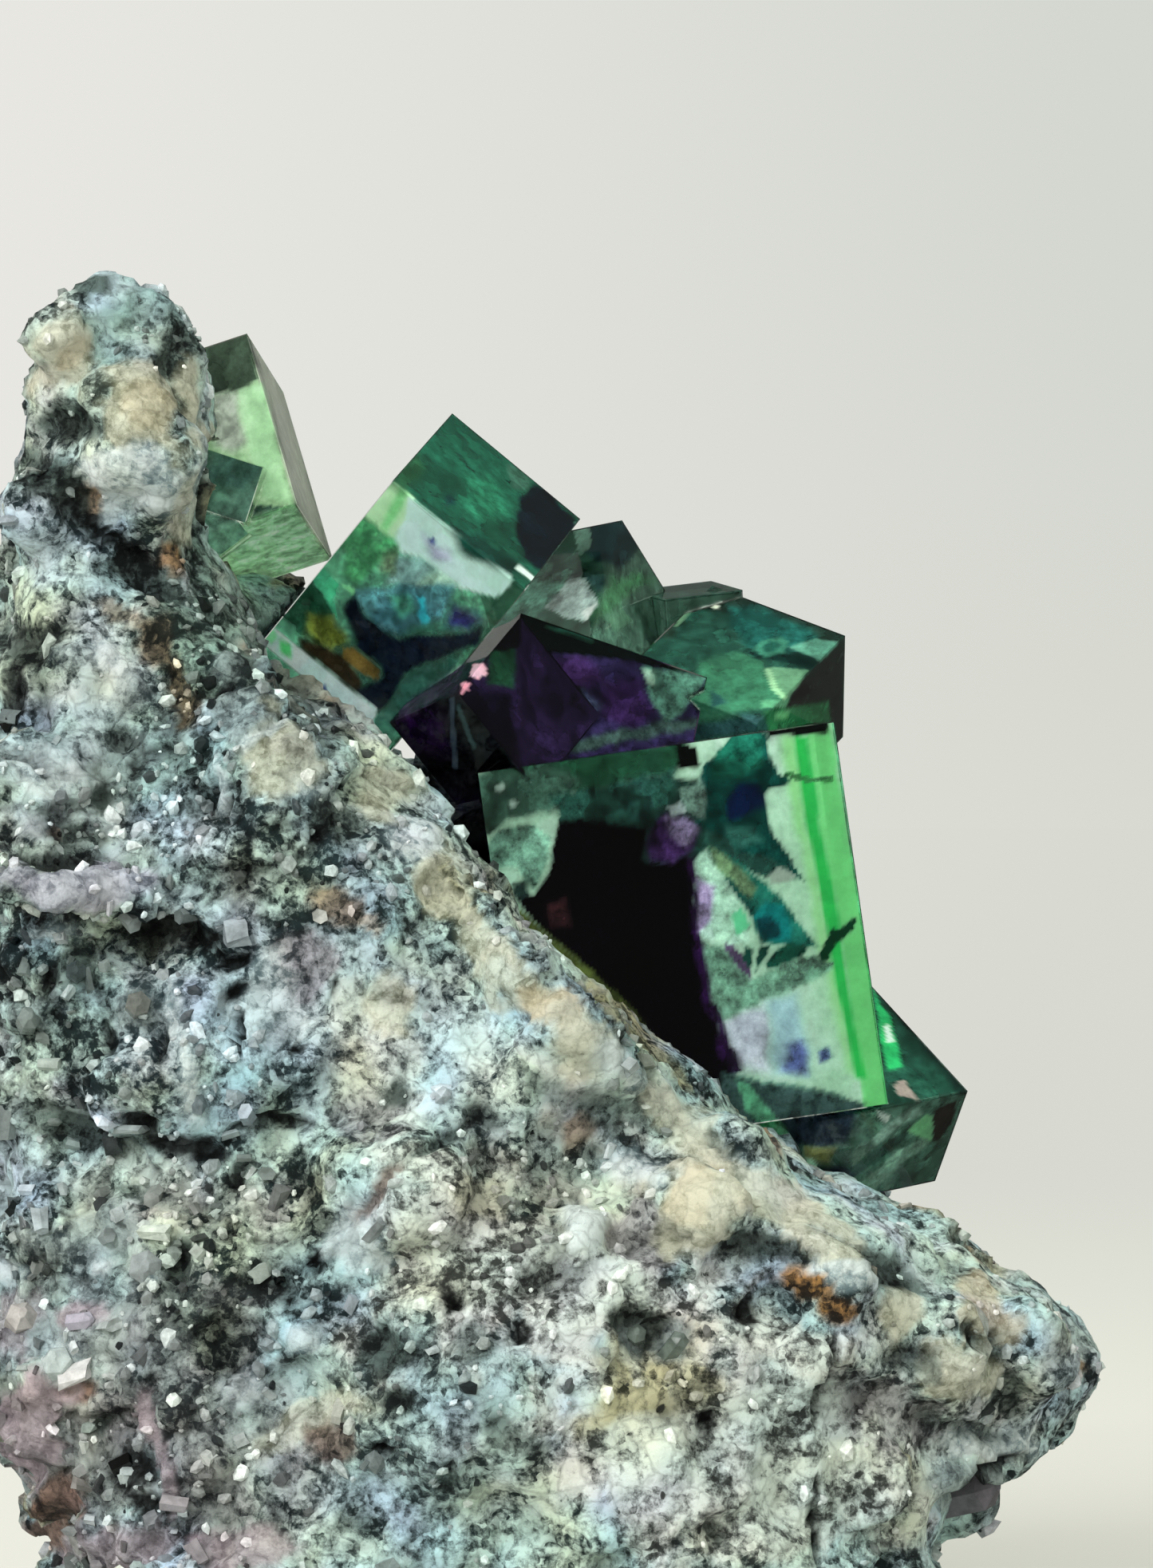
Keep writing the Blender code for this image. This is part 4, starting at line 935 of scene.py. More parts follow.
def veil_material():
    """A sheet along a growth layer that tints the light that passes and scatters some: partly the crystal's
    own bubbles, cracks and zones, partly painted light such as glints, shadows, face shade and the backdrop
    seen through.
    """
    material, tree = new_material("veil_with_painted_light")
    fine = noise(tree, object_place(tree), Scale=1500.0, Detail=6.0, Roughness=0.7)
    swing = between(tree, fine, *VEIL_NOISE, *VEIL_SWING)
    light = times_plus(tree, swing, attribute(tree, "uneven"), 1.0)
    tint = scaled(tree, attribute(tree, "tint", "Color"), light)
    tint = node(tree, "ShaderNodeVectorMath", {"operation": "MINIMUM"}, _0=tint, _1=(1.0, 1.0, 1.0))
    clear = node(tree, "ShaderNodeBsdfTransparent", Color=tint.outputs["Vector"])
    milky = node(tree, "ShaderNodeBsdfPrincipled", Roughness=0.8, Specular_IOR_Level=0.0,
                 Base_Color=scaled(tree, attribute(tree, "milk", "Color"), light))
    output(tree, mixed_shader(tree, attribute(tree, "cover"), clear.outputs["BSDF"], milky.outputs["BSDF"]))
    return material


# Pieces inside the crystals

# How far a mark's rim wanders for each pixel of its softness and for its unevenness, and how far it jumps
# from shard to shard, in pixels.
RIM_WANDER, RIM_ROUGHNESS, RIM_JUMP = 0.5, 2, 4
# The shards' proportions, and what spreads a shard's number over its jumps across and down.
SHARD_SHAPE = (1.0, 1.0, 0.7)
SHARD_SPREAD = 7.3
# How much blots change an uneven veil's tone and its milkiness, and how much the shards add to the blots.
BLOT_TONE, BLOT_MILK, SHARD_SHARE = 0.55, 0.2, 1.2
# The least and greatest change of tone, the milkiest that a veil gets, and the whitest that milk gets.
TONE_RANGE = (0.25, 2.0)
MOST_MILKY, WHITEST = 0.97, 0.95
# How deep inside another crystal a veil begins to fade and is gone, in millimetres.
OVERLAP = (-0.05, 0.10)


def zone_box(name, crystal, low, high, material, cuts, rough):
    """A box between two corners given in millimetres from the crystal's middle, along its edges."""
    deselect()
    bpy.ops.mesh.primitive_cube_add(size=1.0)
    obj = bpy.context.object
    obj.name = name
    if cuts:
        change_mesh(obj, bpy.ops.mesh.subdivide, number_cuts=cuts)
    low, high = Vector(low), Vector(high)
    obj.data.transform(Matrix.Translation((low + high) / 2) @ Matrix.Diagonal(high - low).to_4x4())
    obj.data.transform(crystal_matrix(crystal))
    if rough:
        points, _ = points_of(obj)
        shift = np.stack([cloud(points, ZONE_WANDER, seed, 2) for seed in (3, 4, 5)], axis=1)
        set_points(obj, points + rough * shift)
    return finish_piece(obj, material)


def make_zones():
    colours = {name: colour_zone(name, *looks) for name, looks in ZONE_COLOURS.items()}
    for name, crystal, low, high, colour, cuts, rough in ZONES:
        zone_box(name, crystal, low, high, colours[colour], cuts, rough)


def make_veil(crystal, face, colour, milky, uneven, material, marked=True):
    """A thin sheet just below a face, with its marks in the colours of its points."""
    axis = "XYZ".index(face[1])
    side = 1 if face[0] == "+" else -1
    size = CRYSTALS[crystal][1]
    others = [i for i in range(3) if i != axis]
    spans = [size[i] - 2 * VEIL_MARGIN for i in others]
    steps = [round(span / VEIL_CELL) for span in spans]
    deselect()
    bpy.ops.mesh.primitive_grid_add(x_subdivisions=steps[0], y_subdivisions=steps[1], size=1.0)
    obj = bpy.context.object
    obj.name = f"veil_{crystal}_{'plus' if side > 0 else 'minus'}_{face[1].lower()}"
    apply_modifier(obj, "SOLIDIFY", thickness=1.0, offset=0.0)
    local = Matrix.Diagonal((0.0, 0.0, 0.0, 1.0))
    local[others[0]][0] = spans[0]
    local[others[1]][1] = spans[1]
    local[axis][2] = VEIL_THICKNESS
    local[axis][3] = side * (size[axis] / 2 - VEIL_DEPTH)
    local = crystal_matrix(crystal) @ local
    obj.data.transform(local)
    if local.determinant() < 0:
        obj.data.flip_normals()
    points, _ = points_of(obj)
    colour_veil(obj, points, crystal, colour, milky, uneven, marked)
    return finish_piece(obj, material)


def colour_veil(obj, points, crystal, colour, milky, uneven, marked):
    """Keep in the sheet's points how they tint and scatter light, clear where another crystal begins."""
    spots = seen_at(points)
    wander = np.stack([cloud(points, RIM_WAVE, seed, 3) for seed in (8, 9)], axis=1)
    _, _, shard, _ = grains(points * SHARD_SHAPE, VEIL_SHARD, 3)
    jump = np.stack([shard - 0.5, (shard * SHARD_SPREAD) % 1 - 0.5], axis=1)
    seen = np.tile(linear(colour), (len(points), 1))
    cover = np.full(len(points), float(milky))
    rough = np.full(len(points), float(uneven))
    for _, tone, thick, soft, jagged, outline in MARKS.get(crystal, ()) if marked else ():
        # The rim wanders, and jumps from shard to shard where the mark is uneven.
        moved = spots + wander * (RIM_WANDER * soft + RIM_ROUGHNESS * jagged) + jump * RIM_JUMP * jagged
        share = ramp(depth_inside(moved, outline), -soft, soft)
        seen = mixed(seen, linear(tone), share)
        cover += (thick - cover) * share
        rough += (jagged - rough) * share
    blots = cloud(points, VEIL_BLOT, 1, 3) + SHARD_SHARE * (shard - 0.5)
    seen *= np.clip(1 + BLOT_TONE * rough * blots, *TONE_RANGE)[:, None]
    cover = np.clip(cover * (1 + BLOT_MILK * rough * blots), 0, MOST_MILKY)
    # The sheet is clear where it runs through another crystal.
    hidden = np.zeros(len(points))
    for other in CRYSTALS:
        if other != crystal:
            hidden = np.maximum(hidden, ramp(depth_in_crystal(points, other), *OVERLAP))
    tint = mixed(np.clip(seen / THROUGH_LIGHT, 0, 1), np.ones(3), hidden)
    keep_colour(obj, "tint", np.sqrt(tint))
    # The milk colour is the colour seen, so it carries the painted light too.
    keep_colour(obj, "milk", np.clip(seen, 0, WHITEST))
    keep_number(obj, "cover", (1 - np.sqrt(1 - cover)) * (1 - hidden))
    keep_number(obj, "uneven", rough)


# Rock

# The rock's pattern: cells per metre of its coarse and small grains, and how far they bend, in metres.
COARSE_GRAINS = 950.0
SMALL_GRAINS = 2300.0
GRAIN_BEND = 0.0009
# How much coarse grains, small grains, the finest noise and blotches count in it, and the levels at which
# the rock is all dark and all light.
PATTERN_WEIGHTS = (0.28, 0.50, 2.5, 1.6)
LEVEL_RANGE = (0.05, 0.95)
# Painted shade in the creases between the coarse grains: how wide they are, in cells, and how dark.
CREASE_WIDTH, CREASE_SHADE_TONE = 0.12, -0.30
# Roughness from dull to glossy, and how much less of it the glassy ones among the small grains have.
ROUGHNESS = (0.9, 0.25)
GLASSY_CELLS = (0.80, 0.92)
GLASSINESS = -0.5
# How coarse and small grains count in the bump, next to the finest noise.
COARSE_BUMP, SMALL_BUMP = -0.4, 0.35

# Fields of smooth noise over the rock: size in millimetres, seed and octaves.
FIELDS = {
    "crumbs": (3.0, 3, 4),
    "angular": (9.0, 21, 1),
    "blots": (2.4, 14, 4),
    "wide": (6.0, 2, 1),
    "warm": (3.2, 31, 3),
    "lilac": (2.6, 32, 3),
    "rim_across": (2.0, 11, 3),
    "rim_down": (2.0, 12, 3),
    "beds": (6.0, 17, 2),
}
# Patches, in half sizes from the middle: how far the rim wanders, and where the tone begins and is full,
# and the lift.
PATCH_WANDER = 0.6
PATCH_RIM = (1.15, 0.80)
PATCH_SLOPE = (1.25, 0.25)
# The far side's minerals: how far their pattern rises from nothing to full, and their strength.
FAR_SIDE_RIM = 0.3
FAR_SIDE_STRENGTH = 0.8
# Broken grains: what spreads a grain's number over its three tilts, how much it leans and how far it
# stands out, and how wide the crease around it is, in grains.
TILT_SPREAD = (17.3, 41.7, 89.1)
GRAIN_LEAN, GRAIN_STEP, GRAIN_CREASE = 2.2, 0.8, 0.16
# The photographed side: how much a normal points to the eye where it begins and where it is full.
FACING_RANGE = (-0.35, 0.15)
# How much more angular the left is, and where the field for it begins and is full.
LEFT_SHARE = 0.6
ANGULAR_RANGE = (-0.3, 0.7)
# How much blots, wide fields, big grains and little grains change the level.
BLOT_LEVEL, WIDE_LEVEL, BIG_LEVEL, LITTLE_LEVEL = 0.22, 0.14, 0.16, 0.30
# How warmth and lilac change red, green and blue, the least lilac, and how much minerals take of both.
WARM_SHARE, WARM_SHIFT = 0.13, (1.0, 0.1, -1.0)
LILAC_SHARE, LILAC_SHIFT = 0.08, (0.6, -0.8, 0.8)
LEAST_LILAC = -0.2
MINERAL_HUE = 0.3
# Relief: the middle grains' share where nothing is angular, the little grains' and the crumbs', and how
# deep the rock lies on the whole, in millimetres.
MIDDLE_SHARE, LITTLE_SHARE, CRUMB_SHARE = 0.35, 0.8, 0.36
MEAN_DEPTH = 0.15
# Painted shade: how dark creases are, how light the little ones stay at least, and how light a hollow of
# that depth is.
CREASE_SHADE, LITTLE_LIGHT = 0.6, 0.4
HOLLOW_LIGHT, HOLLOW_DEPTH = 0.35, -0.55
# How much a smooth mineral takes away: relief, change of level, painted crease shade and contrast.
CALM_RELIEF, CALM_LEVEL, CALM_CREASES, CALM_CONTRAST = 0.75, 0.6, 0.8, 0.8
# How glossy smooth minerals and glassy grains are, and which numbers of little grains are glassy.
CALM_GLOSS, GLASSY_GLOSS = 0.6, 0.7
GLASSY_NUMBERS = (0.82, 0.92)
# In millimetres: how near to the crystals the relief begins to lessen and is lowest, and by how much; and
# how high above the flat cut it begins and is full.
NEAR_CRYSTALS = (4.0, 1.0)
NEAR_LESS = 0.5
CUT_RIM = (0.05, 0.9)
# Also in millimetres: how far from the crystals and how high above the cut loose grains begin and are
# common.
GRAINS_OUTSIDE = (1.5, 4.0)
GRAINS_ABOVE = (0.8, 1.4)
# Chance of loose grains where nothing is angular and between their beds, of chips above where they are
# common, and the range of the field of beds.
PLAIN_CHANCE, BETWEEN_BEDS, CHIPS_ELSEWHERE = 0.3, 0.15, 0.1
BED_RANGE = (-0.3, 0.6)
# How far loose grains differ in tone from the rock below, how bright the light ones are, and how much of
# the rock's colour they have.
TONE_SPREAD = 0.35
BRIGHTNESS = (0.5, 0.8)
GRAIN_COLOUR = 0.6


def stone_material():
    """Crystalline skarn, broken by hand: grains from near black to white that meet in creases darkened with
    painted shade.

    The real grains run from 0.1 to 1.5 mm. The finest are drawn at 0.4 mm, so that they show."""
    material, tree = new_material("granular_skarn")
    place_on = object_place(tree)
    contrast = attribute(tree, "contrast")
    drift = node(tree, "ShaderNodeTexNoise", Vector=place_on, Scale=900.0, Detail=3.0).outputs["Color"]
    bent = node(tree, "ShaderNodeVectorMath", {"operation": "MULTIPLY_ADD"}, _0=drift, _1=(GRAIN_BEND,) * 3,
                _2=place_on).outputs["Vector"]
    coarse = node(tree, "ShaderNodeTexVoronoi", Vector=bent, Scale=COARSE_GRAINS)
    small = node(tree, "ShaderNodeTexVoronoi", Vector=bent, Scale=SMALL_GRAINS)
    seams = node(tree, "ShaderNodeTexVoronoi", {"feature": "DISTANCE_TO_EDGE"}, Vector=bent,
                 Scale=COARSE_GRAINS).outputs["Distance"]
    fine = noise(tree, place_on, Scale=1900.0, Detail=8.0, Roughness=0.75)
    blotches = noise(tree, bent, Scale=650.0, Detail=5.0, Roughness=0.6)
    coarse_tag, small_tag = (node(tree, "ShaderNodeSeparateXYZ", Vector=cells.outputs["Color"]).outputs["X"]
                             for cells in (coarse, small))
    pattern = -sum(PATTERN_WEIGHTS) / 2
    for value, weight in zip((coarse_tag, small_tag, fine, blotches), PATTERN_WEIGHTS):
        pattern = times_plus(tree, value, weight, pattern)
    level = times_plus(tree, pattern, contrast, attribute(tree, "level"))
    mineral = mixed_colour(tree, between(tree, level, *LEVEL_RANGE, shape="SMOOTHSTEP"),
                           attribute(tree, "dark_tone", "Color"), attribute(tree, "light_tone", "Color"))
    # Painted shade: the colour darkens in thin creases between the coarse grains.
    crease = between(tree, seams, 0.0, CREASE_WIDTH, CREASE_SHADE_TONE, 0.0)
    colour = scaled(tree, mineral, times_plus(tree, crease, contrast, 1.0))
    dull = between(tree, attribute(tree, "gloss"), 0.0, 1.0, *ROUGHNESS)
    glassy = between(tree, small_tag, *GLASSY_CELLS, 0.0, GLASSINESS)
    rough = node(tree, "ShaderNodeMath", {"operation": "ADD", "use_clamp": True}, _0=dull, _1=glassy)
    height = times_plus(tree, coarse.outputs["Distance"], COARSE_BUMP, fine)
    height = times_plus(tree, small_tag, SMALL_BUMP, height)
    bump = node(tree, "ShaderNodeBump", Height=height, Strength=0.9, Distance=0.00022)
    shader = node(tree, "ShaderNodeBsdfPrincipled", Base_Color=colour, Roughness=rough.outputs["Value"],
                  Normal=bump.outputs["Normal"])
    output(tree, shader.outputs["BSDF"])
    return material


def cloudy_material(name, clouds, light, rough, bump, **settings):
    """Stone that is cloudy inside: its clouds' size and sharpness, and how light, rough and uneven it is."""
    material, tree = new_material(name)
    cloudy = noise(tree, object_place(tree), **clouds)
    colour = scaled(tree, attribute(tree, "grain_tone", "Color"), between(tree, cloudy, 0.3, 0.7, *light))
    bump = node(tree, "ShaderNodeBump", Height=cloudy, Strength=bump, Distance=0.0001)
    rough = between(tree, cloudy, 0.0, 1.0, *rough)
    shader = node(tree, "ShaderNodeBsdfPrincipled", Base_Color=colour, Roughness=rough, IOR=QUARTZ_IOR,
                  Normal=bump.outputs["Normal"], **settings)
    output(tree, shader.outputs["BSDF"])
    return material


def grain_material():
    """Loose quartz and calcite grains, freshly broken: flat faces with a glassy shine."""
    return cloudy_material("broken_quartz_grain", {"Scale": 2600.0, "Detail": 6.0, "Roughness": 0.7},
                           (0.55, 1.35), (0.15, 0.55), 0.4)


def quartz_material():
    """Quartz crystals: glassy, a little cloudy inside, with fine lines across their sides."""
    return cloudy_material("cloudy_quartz", {"Scale": 1100.0, "Detail": 7.0, "Roughness": 0.65},
                           (0.6, 1.4), (0.05, 0.35), 0.3, Transmission_Weight=0.35)


def field(points, name):
    return cloud(points, *FIELDS[name])


def patch_shares(spots, points, facing):
    """For each patch: its mineral, how much of it each point of the rock has, and how far it lifts it."""
    wander = np.stack([field(points, "rim_across"), field(points, "rim_down")], axis=1)
    for mineral, *rows in PATCHES:
        for across, down, half_across, half_down, turn, strength, rise in rows:
            angle = math.radians(turn)
            away = spots + wander * PATCH_WANDER * min(half_across, half_down) - (across, down)
            right = away[:, 0] * math.cos(angle) + away[:, 1] * math.sin(angle)
            low = away[:, 1] * math.cos(angle) - away[:, 0] * math.sin(angle)
            far = np.hypot(right / half_across, low / half_down)
            share = ramp(far, *PATCH_RIM) * strength * facing
            yield mineral, share, rise * ramp(far, *PATCH_SLOPE) * facing
    for mineral, size, seed, least, rise in FAR_SIDE:
        share = ramp(cloud(points, size, seed, 3), least, least + FAR_SIDE_RIM) * (1 - facing)
        yield mineral, FAR_SIDE_STRENGTH * share, rise * share


def broken(points, size, seed, lean):
    """Relief of broken grains that lean and stand as their numbers say, their creases and numbers."""
    near, far, tag, away = grains(points, size, seed)
    tilt = np.stack([(tag * k) % 1 - 0.5 for k in TILT_SPREAD], axis=1)
    height = size * lean * (GRAIN_LEAN * (tilt * away).sum(axis=1) + GRAIN_STEP * (tag - 0.5))
    return height, ramp(far - near, 0.0, GRAIN_CREASE), tag


def rock_looks(points, normals):
    """For each point: relief in millimetres, light and dark tone, level, contrast, gloss and how angular."""
    spots = seen_at(points)
    facing = ramp(-normals[:, 1], *FACING_RANGE)
    big, _, big_tag = broken(points, *BIG_GRAINS)
    middle, middle_open, _ = broken(points, *MIDDLE_GRAINS)
    small, small_open, small_tag = broken(points, *LITTLE_GRAINS)
    crumbs = field(points, "crumbs")
    # How angular its grains are: most in the splintery part at the left of the photographed side.
    to_left = LEFT_SHARE * (SPLINTERY_FROM - spots[:, 0]) / SPLINTERY_FADE
    angular = ramp(field(points, "angular") + to_left * facing, *ANGULAR_RANGE)
    # How light it is: blots, single grains and wide fields.
    level = ROCK_LEVEL + BLOT_LEVEL * field(points, "blots") + BIG_LEVEL * (big_tag - 0.5)
    level += LITTLE_LEVEL * angular * (small_tag - 0.5) + WIDE_LEVEL * field(points, "wide")
    # Its colour drifts between cool and warm, and to lilac here and there.
    warmth = field(points, "warm")[:, None]
    lilac = np.maximum(field(points, "lilac"), LEAST_LILAC)[:, None]
    hue = 1 + WARM_SHARE * warmth * WARM_SHIFT + LILAC_SHARE * lilac * LILAC_SHIFT
    light = linear(ROCK_LIGHT) * hue
    dark = linear(ROCK_DARK) * hue
    calm = np.zeros(len(points))
    lift = np.zeros(len(points))
    for mineral, share, rise in patch_shares(spots, points, facing):
        light_tone, dark_tone, stillness, lean_to = MINERALS[mineral]
        light = mixed(light, linear(light_tone), share)
        dark = mixed(dark, linear(dark_tone), share)
        level += (lean_to + (level - ROCK_LEVEL) * (1 - CALM_LEVEL * stillness) - level) * share
        calm += (stillness - calm) * share
        lift += (rise - lift) * (np.abs(rise) > np.abs(lift))
    # Broken grains stand out where it is angular, and hardly where a mineral is smooth.
    broken_up = middle * (MIDDLE_SHARE + (1 - MIDDLE_SHARE) * angular) + LITTLE_SHARE * small * angular
    broken_up = broken_up + CRUMB_SHARE * crumbs
    relief = (big + broken_up) * (1 - CALM_RELIEF * calm) - MEAN_DEPTH
    # Painted shade: creases between grains and the bottoms of hollows are darkened.
    little_open = LITTLE_LIGHT + (1 - LITTLE_LIGHT) * small_open
    cracks = 1 - CREASE_SHADE * (1 - np.minimum(middle_open, little_open)) * angular
    crease_and_hollow_shade = cracks * (HOLLOW_LIGHT + (1 - HOLLOW_LIGHT) * ramp(broken_up + lift, HOLLOW_DEPTH, 0.0))
    crease_and_hollow_shade = 1 - (1 - crease_and_hollow_shade) * (1 - CALM_CREASES * calm)
    hue = 1 + MINERAL_HUE * (hue - 1)
    light = np.clip(light * hue * crease_and_hollow_shade[:, None], 0, 1)
    dark = np.clip(dark * hue * crease_and_hollow_shade[:, None], 0, 1)
    contrast = 1 - CALM_CONTRAST * calm
    gloss = np.clip(CALM_GLOSS * calm + GLASSY_GLOSS * ramp(small_tag, *GLASSY_NUMBERS), 0, 1)
    return relief + lift, light, dark, level, contrast, gloss, angular


def free_of_crystals(points):
    """How far outside every crystal each point is, in millimetres."""
    free = np.full(len(points), FAR_AWAY)
    for name in CRYSTALS:
        free = np.minimum(free, -depth_in_crystal(points, name))
    return free


def above_cut(points, low, high):
    """0 to 1 between two heights above the flat cut."""
    return ramp(points[:, 2], BASE_HEIGHT + low, BASE_HEIGHT + high)


def make_rock():
    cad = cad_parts["matrix"]
    rock = bpy.data.objects.new("rock", cad.data.copy())
    bpy.context.scene.collection.objects.link(rock)
    change_mesh(rock, bpy.ops.mesh.remove_doubles, threshold=1e-6)
    apply_modifier(rock, "REMESH", mode="VOXEL", voxel_size=ROCK_CELL * MM, use_smooth_shade=True)
    points, normals = points_of(rock)
    relief, light, dark, level, contrast, gloss, angular = rock_looks(points, normals)
    free = free_of_crystals(points)
    # The relief is lower near the crystals, leaves them free, and ends at the flat cut.
    near = NEAR_LESS * ramp(free, *NEAR_CRYSTALS)
    relief = np.clip(relief, *RELIEF_RANGE) - near * (relief > 0) * relief
    relief = np.minimum(relief, np.maximum(free - SOCKET_GAP, 0))
    relief *= above_cut(points, *CUT_RIM)
    moved = points + normals * relief[:, None]
    set_points(rock, moved)
    keep_colour(rock, "light_tone", light)
    keep_colour(rock, "dark_tone", dark)
    keep_number(rock, "level", level)
    keep_number(rock, "contrast", contrast)
    keep_number(rock, "gloss", gloss)
    finish_piece(rock, stone_material(), ("matrix",))
    chance = ramp(free, *GRAINS_OUTSIDE) * above_cut(points, *GRAINS_ABOVE)
    grain_chance = (chance * contrast ** 3 * (PLAIN_CHANCE + (1 - PLAIN_CHANCE) * angular)
                    * (BETWEEN_BEDS + ramp(field(points, "beds"), *BED_RANGE)))
    low = ramp(seen_at(moved)[:, 1], CHIPS_FROM, CHIPS_COMMON)
    chip_chance = chance * contrast * angular ** 2 * (CHIPS_ELSEWHERE + (1 - CHIPS_ELSEWHERE) * low)
    ground = (moved, normals, (light, dark, level))
    scatter("loose_grains", bpy.ops.mesh.primitive_ico_sphere_add, {"subdivisions": 1}, GRAIN_COUNT,
            ground, grain_material(), grain_chance)
    scatter("quartz_chips", bpy.ops.mesh.primitive_cylinder_add,
            {"vertices": 6, "depth": CHIP_LENGTH, "end_fill_type": "TRIFAN"}, CHIP_COUNT,
            ground, quartz_material(), chip_chance)
    make_quartz(rock)


def make_quartz(rock):
    """Six-sided crystals with blunt points, set where the photograph shows them on the rock."""
    material = quartz_material()
    for number, (across, down, radius, length, turn, lean, tone) in enumerate(QUARTZ):
        aim = Vector(((across - PHOTO_WIDTH / 2) * MM_PER_PIXEL, -EYE.y,
                      (PHOTO_HEIGHT / 2 - down) * MM_PER_PIXEL)).normalized()
        hit, spot, _, _ = rock.ray_cast(place(EYE), aim)
        if not hit:
            continue
        deselect()
        bpy.ops.mesh.primitive_cylinder_add(vertices=6, radius=radius, depth=length)
        crystal = bpy.context.object
        crystal.name = f"quartz_{number}"
        bpy.ops.object.mode_set(mode="EDIT")
        bpy.ops.mesh.select_all(action="DESELECT")
        bpy.ops.object.mode_set(mode="OBJECT")
        for face in crystal.data.polygons:
            face.select = face.normal.z > 0.9
        bpy.ops.object.mode_set(mode="EDIT")
        bpy.ops.mesh.extrude_region_move(TRANSFORM_OT_translate={"value": (0, 0, QUARTZ_TIP * radius)})
        bpy.ops.transform.resize(value=QUARTZ_NARROWING)
        bpy.ops.object.mode_set(mode="OBJECT")
        apply_modifier(crystal, "BEVEL", width=QUARTZ_BEVEL, segments=1, limit_method="ANGLE")
        way = Euler((math.radians(lean), math.radians(turn), 0), "XYZ").to_matrix().to_4x4()
        crystal.data.transform(Matrix.Translation(spot) @ way @ Matrix.Scale(MM, 4)
                               @ Matrix.Translation((0, 0, -QUARTZ_SINK * length)))
        keep_colour(crystal, "grain_tone", np.tile(linear(tone), (len(crystal.data.vertices), 1)))
        finish_piece(crystal, material)


def scatter(name, add_shape, settings, count, ground, material, chance):
    """Copies of one small shape that stand half out of the rock, each one broken in its own way.

    ground is the rock's points, their normals and their tones, and chance how likely each is chosen."""
    points, normals, tones = ground
    rng = np.random.default_rng([GRAIN_SEED, count])
    deselect()
    add_shape(**settings)
    shape = bpy.context.object
    corners = np.array([vertex.co for vertex in shape.data.vertices])
    faces = [tuple(face.vertices) for face in shape.data.polygons]
    bpy.data.objects.remove(shape)
    chosen = rng.choice(len(points), count, replace=False, p=chance / chance.sum())
    least, greatest = GRAIN_RADIUS
    radius = least * (greatest / least) ** rng.random(count) ** GRAIN_SMALLNESS
    stretch = rng.uniform(*GRAIN_STRETCH, (count, 1, 3))
    dents = rng.uniform(-GRAIN_DENT, GRAIN_DENT, (count, len(corners), 1))
    shapes = corners[None] * (1 + dents) * stretch
    turns = np.array([Euler(angles).to_matrix() for angles in rng.uniform(0, math.tau, (count, 3))])
    shapes = np.einsum("nij,nkj->nki", turns, shapes) * radius[:, None, None]
    shapes += (points[chosen] - normals[chosen] * (GRAIN_SINK * radius)[:, None])[:, None]
    every_face = [[corner + number * len(corners) for corner in face]
                  for number in range(count) for face in faces]
    mesh = bpy.data.meshes.new(name)
    mesh.from_pydata(shapes.reshape(-1, 3).tolist(), [], every_face)
    obj = bpy.data.objects.new(name, mesh)
    bpy.context.scene.collection.objects.link(obj)
    set_points(obj, shapes.reshape(-1, 3))
    light, dark, level = (values[chosen] for values in tones)
    share = np.clip(level + rng.normal(0, TONE_SPREAD, count), 0, 1)
    bright = 1 / np.maximum(light.max(axis=1), 1e-3) * rng.uniform(*BRIGHTNESS, count)
    grain_tones = mixed(dark, light * np.maximum(bright, 1)[:, None], share)
    grey = grain_tones.mean(axis=1, keepdims=True)
    grain_tones = GRAIN_COLOUR * grain_tones + (1 - GRAIN_COLOUR) * grey
    keep_colour(obj, "grain_tone", np.repeat(grain_tones, len(corners), axis=0))
    return finish_piece(obj, material)


# Stage

# Tone of the backdrop in the photograph's corners, and of the sheet under the specimen.
BACKDROP = {"top_left": "#E8E7E2", "top_right": "#D3D6CF", "low_left": "#E6E7E3", "low_right": "#DCDCD2"}
SHEET_TONE = "#CBCBC4"
# How far sideways and how far up a direction points where the corners' tones are full.
BACKDROP_ACROSS, BACKDROP_UP = 0.12, 0.10
# Soft boxes: the way to them from the specimen, the cosines where they begin and are full, and strength.
SOFT_BOXES = (((-0.45, -0.65, 0.62), 0.55, 0.98, 1.8), ((0.6, 0.1, 0.8), 0.6, 1.0, 0.9))
# How much brighter the backdrop is through a crystal, how much more light reaches what is milky in it,
# and how bright the dim room mirrors in its faces.
BACKLIGHT = 0.60
INNER_LIGHT = 4.0
MIRRORED = 0.15
# Where the matt sheet begins to go over into the backdrop, where it is all backdrop, and its rim.
MATT_RADIUS = 0.10
GLOW_RADIUS = 0.45
FLOOR_RADIUS = 6.0
# Lamps: name, place, size in metres, power, and whether the crystals' faces mirror it.
LAMPS = (
    ("key", (-0.45, -0.65, 0.55), 0.35, 5.0, False),
    ("glint", (-0.30, -0.60, 0.40), 0.03, 0.6, True),
)
LAMP_AIM = Vector((0, 0, 0.04))
# How often light may turn inside the crystals, and how many clear sheets it may pass.
LIGHT_BOUNCES, CLEAR_BOUNCES = 14, 40


def backdrop_tone(tree, direction):
    """The backdrop's colour in a direction from the specimen: lighter to the left."""
    across, _, up = node(tree, "ShaderNodeSeparateXYZ", Vector=direction).outputs
    right = between(tree, across, -BACKDROP_ACROSS, BACKDROP_ACROSS, shape="SMOOTHSTEP")
    high = between(tree, up, -BACKDROP_UP, BACKDROP_UP, shape="SMOOTHSTEP")
    rows = [mixed_colour(tree, right, shade(BACKDROP[row + "_left"]), shade(BACKDROP[row + "_right"]))
            for row in ("low", "top")]
    return mixed_colour(tree, high, *rows)


